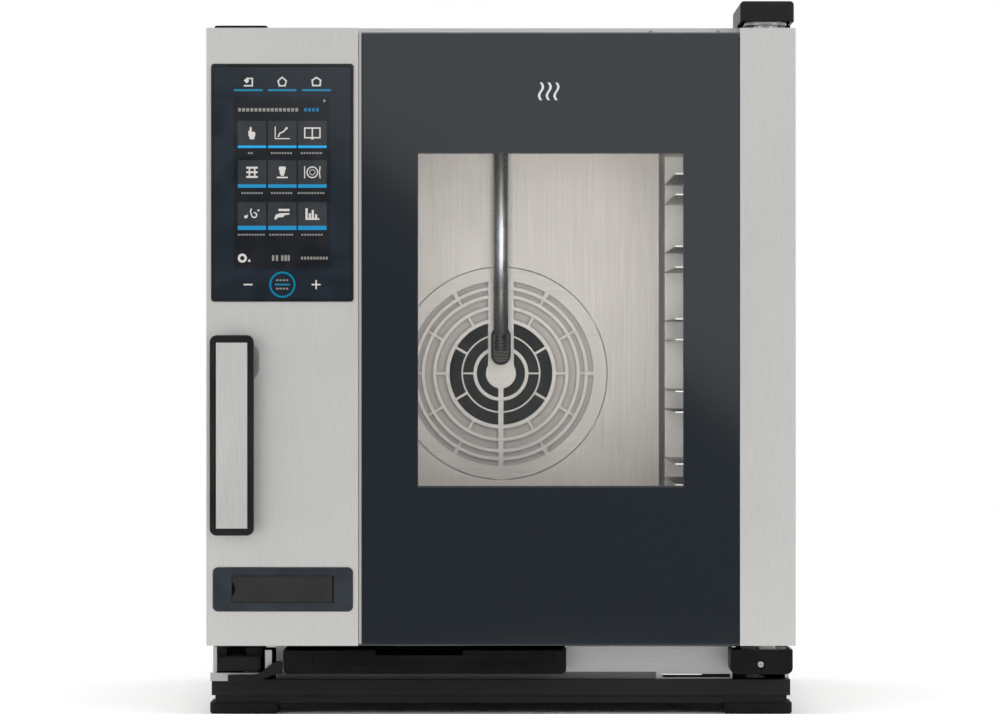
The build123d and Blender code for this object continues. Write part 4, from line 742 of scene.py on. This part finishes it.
put_marks("screen_face", [bar(screen_left, screen_top, screen_right, screen_bottom)], 1, screen_face)
put_marks("screen_tiles", [bar(left, top, right, bottom) for left, right in tile_columns
                           for top, bottom in tile_rows], 2, tile_face)
put_marks("tile_bars_top", [bar(left, top, right, bottom) for left, right in tile_columns
                            for top, bottom in tile_bars[:1]], 2, bright_blue)
put_marks("tile_bars_lower", [bar(left, top, right, bottom) for left, right in tile_columns
                              for top, bottom in tile_bars[1:]], 2, middle_blue)
put_marks("key_bars", [bar(left, key_bar_top, right, key_bar_bottom, 0.6) for left, right in key_columns],
          1, key_blue)

# Icons are drawn round (0, 0) in millimetres, x to the right and z down.
back_arrow = strokes([(0.6, -3.0), (3.6, -3.0), (3.6, 3.6), (-3.4, 3.6)], 1.3) + [
    [(-4.2, -1.2), (-0.6, -4.2), (0.6, -0.4), (-1.4, 1.4)]]
house = strokes([(0, -4.1), (3.7, -0.8), (2.6, 3.6), (-2.6, 3.6), (-3.7, -0.8), (0, -4.1)], 1.25)
home = strokes([(0, -3.9), (3.8, -1.4), (3.3, 3.4), (-3.3, 3.4), (-3.8, -1.4), (0, -3.9)], 1.35)
minus = strokes([(-3.4, 0), (3.4, 0)], 1.3)
plus = minus + strokes([(0, -3.5), (0, 3.5)], 1.3)
hand = [bar(-2.1, -5.6, -0.3, 1.5, 0.8), bar(-3.2, -1.2, 3.0, 3.4, 1.2), bar(-2.2, 2.6, 2.2, 5.6, 0.5),
        bar(-3.4, -2.2, -0.6, 0.6, 0.8)]
rising_chart = (strokes([(-6.4, -5.4), (-6.4, 5.0), (6.4, 5.0)], 0.9)
                + strokes([(-3.6, 3.0), (-2.2, 0.2), (1.2, -1.4), (3.6, -4.2)], 1.2) + [disc(3.9, -4.4, 1.1)])
book = (strokes([(-6.9, -4.6), (0, -4.6), (0, 4.2), (-6.9, 4.2), (-6.9, -4.6)], 1.2)
        + strokes([(0, -4.6), (6.9, -4.6), (6.9, 4.2), (0, 4.2)], 1.2) + [bar(-1.4, 4.4, 1.4, 5.6, 0.4)])
trays = [bar(-5.2, z, 5.2, z + 1.7, 0.3) for z in (-5.0, -0.9, 3.4)] + [
    bar(x, -4.0, x + 1.3, 4.0, 0.2) for x in (-3.0, 1.9)]
cook = [bar(-3.2, -5.2, 3.2, -1.8, 1.0), bar(-2.4, -2.6, 2.4, 1.0, 0.3), bar(-1.7, 0.6, 1.7, 3.2, 0.9),
        bar(-5.0, 4.0, 5.0, 5.4, 0.5)]
plate = strokes(arc(0, 0, 4.8, 0, 360, 30), 1.0) + strokes(arc(0, 0, 2.4, 0, 360, 20), 0.5) + strokes(
    [(-7.0, -5.0), (-7.0, 5.0)], 0.9) + strokes([(7.0, -5.0), (6.4, 0.4), (7.0, 5.0)], 1.0)
drops = [disc(-5.6, 2.6, 1.5), [(-5.0, 2.2), (-3.4, -0.2), (-4.0, 3.0)]] + strokes(
    arc(2.0, 1.0, 2.2, -90, 150, 14).tolist() + [(-1.4, -2.2), (-0.6, -4.4)], 1.1) + [disc(5.9, -3.2, 0.9)]
served = [bar(-3.4, -4.6, 6.6, -2.6, 0.3), [(-7.2, 4.4), (-6.0, 0.8), (-2.4, -0.6), (6.6, -0.8), (6.4, 0.6),
          (2.4, 1.0), (0.6, 3.0), (-3.6, 3.0), (-6.0, 5.4)]]
columns = [bar(x, top, x + 2.0, 4.6, 0.2) for x, top in ((-6.2, -5.2), (-3.2, -0.6), (-0.6, -3.6),
           (2.4, 0.4))] + [bar(-6.2, 4.0, 6.4, 5.4, 0.2)]

icon_grid = [[hand, rising_chart, book], [trays, cook, plate], [drops, served, columns]]
icon_marks = [outline for row, icons in enumerate(icon_grid) for column, icon in enumerate(icons)
              for outline in move(icon, sum(tile_columns[column]) / 2, sum(tile_rows[row]) / 2)]
put_marks("tile_icons", icon_marks, 3, warm_white)
key_marks = [outline for icon, span in zip((back_arrow, house, home), key_columns)
             for outline in move(icon, sum(span) / 2, key_row)]
put_marks("key_icons", key_marks + move(minus, 33.6, lower_row) + move(plus, 95.3, lower_row),
          1, warm_white)

# Plain dashes stand where the display shows words.
title_dashes = [bar(x, title_top, x + 2.6, title_bottom, 0.4) for x in np.arange(24.6, 78, 3.7)]
blue_dashes = [bar(x, title_top, x + 2.5, title_bottom, 0.4) for x in np.arange(84.4, 97, 3.6)]
caption_spans = [[(33.6, 40.0), (54.1, 74.9), (81.4, 102.4)], [(27.6, 47.2), (54.4, 74.3), (78.6, 105.0)],
                 [(24.4, 50.0), (52.7, 76.6), (81.9, 102.0)]]
captions = [bar(x, z - 0.8, x + 1.7, z + 0.8, 0.3) for z, spans in zip(caption_rows, caption_spans)
            for left, right in spans for x in np.arange(left, right - 1.6, 2.5)]
clock = [bar(x, 173.4, x + 2.0, 178.8, 0.5) for x in (55.3, 58.8, 63.6, 66.6, 69.4)]
date_dashes = [bar(x, 174.8, x + 1.8, 177.6, 0.4) for x in np.arange(81.6, 104.5, 2.8)]
put_marks("title_dashes", title_dashes + [disc(102.7, 33.6, 1.2)], 2, dim_white)
put_marks("title_dashes_blue", blue_dashes, 2, faint_blue)
put_marks("caption_dashes", captions + date_dashes + clock, 2, dim_white)
put_marks("status_ring", strokes(arc(28.4, 176.2, 3.0, 0, 360, 24), 2.0)
          + [[(33.2, 179.4), (34.6, 176.8), (36.2, 179.4)]], 2, warm_white)
put_marks("home_ring", strokes(arc(home_x, lower_row, 11.0, 0, 360, 72), 1.6)
          + [bar(home_x - 7.0, lower_row - 0.8, home_x + 7.0, lower_row + 0.7, 0.5)], 1, key_blue)
put_marks("home_dashes", [bar(x, z - 0.8, x + 2.0, z + 0.8, 0.4) for x in (59.0, 62.0, 65.0, 68.0)
                          for z in (196.2, 203.9)], 1, dim_white)

# ---------------------------------------------------------------------------
# Turning handle. A black glass-filled nylon frame with a steel inlay, on a
# grey boss. The inlay is brushed along its length.
# ---------------------------------------------------------------------------

finish_nodes(grained_moulding("handle_nylon", "121110", "1a1918", 0.4, 0.9, 0.06, 0.14), "handle_frame")
finish_nodes(brushed_stainless("stainless_inlay", "Z", "bcbbb9", "cfcecc", 0.32, 0.5), "handle_plate")
finish_nodes(grained_moulding("boss_nylon", "626160", "737271", 0.45, 0.9, 0.06), "handle_escutcheon")

# ---------------------------------------------------------------------------
# Service port. A gloss ABS bezel holds a soft rubber flap with a finger
# notch at the left, drawn as a flat patch of painted shade, and a raised press mark at the right.
# ---------------------------------------------------------------------------

finish_nodes(gloss_moulding("abs_blue_grey", "1f252b", "232a31", 0.14), "usb_bezel")
flap_rubber = grained_moulding("flap_rubber", "201f1f", "282727", 0.5, 0.7, 0.05)
finish_nodes(flap_rubber, "usb_flap")

flap_low, flap_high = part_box("usb_flap")
flap_middle = (flap_low.z + flap_high.z) / 2
mark_right = flap_high.x - 6.5 * mm
mark_width, mark_half, mark_round = 11 * mm, 8.4 * mm, 5 * mm
mark_turn = np.linspace(-math.pi / 2, math.pi / 2, 20)
mark_curve = np.stack([mark_right - mark_round + mark_round * np.cos(mark_turn),
                       flap_middle + mark_half * np.sin(mark_turn)], axis=1)
mark_outline = np.concatenate([mark_curve, [(mark_right - mark_width, flap_middle + mark_half),
                                            (mark_right - mark_width, flap_middle - mark_half)]])
press_mark = put_mesh("flap_press_mark", *slab(mark_outline, flap_low.y - 0.35 * mm, flap_low.y + 0.5 * mm),
                      flap_rubber, "flap", "rubber")
soften(press_mark, 0.3 * mm)

# The finger notch is not cut: a flat near-black patch on the flap paints the shade inside it.
notch_depth, notch_half = 2.4 * mm, 6.2 * mm
notch_turn = np.linspace(-math.pi / 2, math.pi / 2, 16)
notch_outline = np.stack([flap_low.x + notch_depth * np.cos(notch_turn),
                          flap_middle + notch_half * np.sin(notch_turn)], axis=1)
put_mesh("flap_notch_painted_shade", *slab(notch_outline, flap_low.y - 0.05 * mm, flap_low.y + 0.4 * mm),
         grained_moulding("notch_painted_shade", "040404", "080808", 0.7, 0.7, 0.05, 0.05), "flap", "rubber")

# ---------------------------------------------------------------------------
# Floor, lights and camera. A plain pale floor, soft lights above, at both sides
# and in the cavity's mouth, and a card behind the camera that grows brighter
# towards its top, so that the dark glass carries a soft change of tone.
# ---------------------------------------------------------------------------


def flat_quad(name, corners, material):
    """One flat four-cornered face for the studio, not part of the oven."""
    mesh = bpy.data.meshes.new(name)
    mesh.from_pydata(corners, [], [(0, 1, 2, 3)])
    mesh.materials.append(material)
    quad = bpy.data.objects.new(name, mesh)
    bpy.context.scene.collection.objects.link(quad)
    return quad


floor_paint, floor_tree = new_material("studio_floor_paint")
floor_place = add_node(floor_tree, "ShaderNodeTexCoord", {})
floor_cloud = add_node(floor_tree, "ShaderNodeTexNoise",
                       {"Vector": floor_place.outputs["Object"], "Scale": 3.0})
floor_tone = add_node(floor_tree, "ShaderNodeMixRGB",
                      {"Fac": floor_cloud.outputs["Fac"], "Color1": srgb("fcfcfb"), "Color2": srgb("ffffff")})
floor_surface = add_node(floor_tree, "ShaderNodeBsdfPrincipled",
                         {"Base Color": floor_tone.outputs["Color"], "Roughness": 0.9,
                          "Specular IOR Level": 0.1})
add_node(floor_tree, "ShaderNodeOutputMaterial", {"Surface": floor_surface.outputs["BSDF"]})
floor_half, floor_front, floor_back = 4.0, -1.4, 5.0
flat_quad("studio_floor", [(-floor_half, floor_front, 0.0), (floor_half, floor_front, 0.0),
                           (floor_half, floor_back, 0.0), (-floor_half, floor_back, 0.0)], floor_paint)

card_paint, card_tree = new_material("studio_card_glow")
card_place = add_node(card_tree, "ShaderNodeTexCoord", {})
card_tilt = add_node(card_tree, "ShaderNodeVectorMath",
                     {0: card_place.outputs["Object"], 1: (0.7, 0.0, 1.0)}, operation="DOT_PRODUCT")
card_fade = add_node(card_tree, "ShaderNodeMapRange",
                     {"Value": card_tilt.outputs["Value"], "From Min": 0.48, "From Max": 0.64,
                      "To Min": 0.15, "To Max": 1.0}, interpolation_type="SMOOTHSTEP")
card_glow = add_node(card_tree, "ShaderNodeEmission",
                     {"Color": srgb("ffffff"), "Strength": card_fade.outputs["Result"]})
add_node(card_tree, "ShaderNodeOutputMaterial", {"Surface": card_glow.outputs["Emission"]})
card_y, card_left, card_right, card_low, card_high = -7.0, -0.8, 0.9, -0.5, 1.3
card = flat_quad("studio_card", [(card_left, card_y, card_low), (card_left, card_y, card_high),
                                 (card_right, card_y, card_high), (card_right, card_y, card_low)], card_paint)
card.visible_camera = False
card.visible_shadow = False


def soft_light(name, place, aim, size, power):
    """Rectangular soft light that stands at one point and faces another."""
    lamp = bpy.data.lights.new(name, "AREA")
    lamp.shape = "RECTANGLE"
    lamp.size, lamp.size_y = size
    lamp.energy = power
    stand = bpy.data.objects.new(name, lamp)
    bpy.context.scene.collection.objects.link(stand)
    run = np.array(aim, float) - np.array(place, float)
    stand.location = place
    stand.rotation_euler = (math.atan2(math.hypot(run[0], run[1]), -run[2]), 0,
                            math.atan2(run[1], run[0]) - math.pi / 2)
    stand.visible_camera = False
    return stand


soft_light("light_top", (0, -1.6, 3.2), (0, 0, 0.3), (3.0, 2.0), 30)
soft_light("light_left", (-3.2, -2.4, 1.6), (0, 0, 0.35), (2.0, 2.2), 20)
soft_light("light_right", (3.2, -2.4, 1.6), (0, 0, 0.35), (2.0, 2.2), 20)

liner_low, liner_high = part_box("cavity_liner")
lamp_y, lamp_z, lamp_height = liner_low.y + 4 * mm, 0.375, 0.34
for lamp_name, lamp_x, lamp_width, lamp_power in (("light_cavity_left", -0.08, 0.12, 0.34),
                                                  ("light_cavity_right", 0.1, 0.16, 0.53)):
    soft_light(lamp_name, (lamp_x, lamp_y, lamp_z), (lamp_x, liner_high.y, lamp_z),
               (lamp_width, lamp_height), lamp_power)

world = bpy.data.worlds.new("studio_world")
world.use_nodes = True
world.node_tree.nodes.clear()
backdrop = add_node(world.node_tree, "ShaderNodeBackground", {"Color": srgb("ffffff"), "Strength": 1.0})
add_node(world.node_tree, "ShaderNodeOutputWorld", {"Surface": backdrop.outputs["Background"]})
bpy.context.scene.world = world
bpy.context.scene.view_settings.view_transform = "Standard"

lens = bpy.data.cameras.new("front_lens")
lens.lens = 198.5
lens.clip_end = 50
camera = bpy.data.objects.new("front_camera", lens)
bpy.context.scene.collection.objects.link(camera)
eye_x, eye_distance, eye_height = -0.0009, 5.0, 0.3261
camera.location = (eye_x, glass_low.y - eye_distance, eye_height)
camera.rotation_euler = (math.pi / 2, 0, 0)
bpy.context.scene.camera = camera
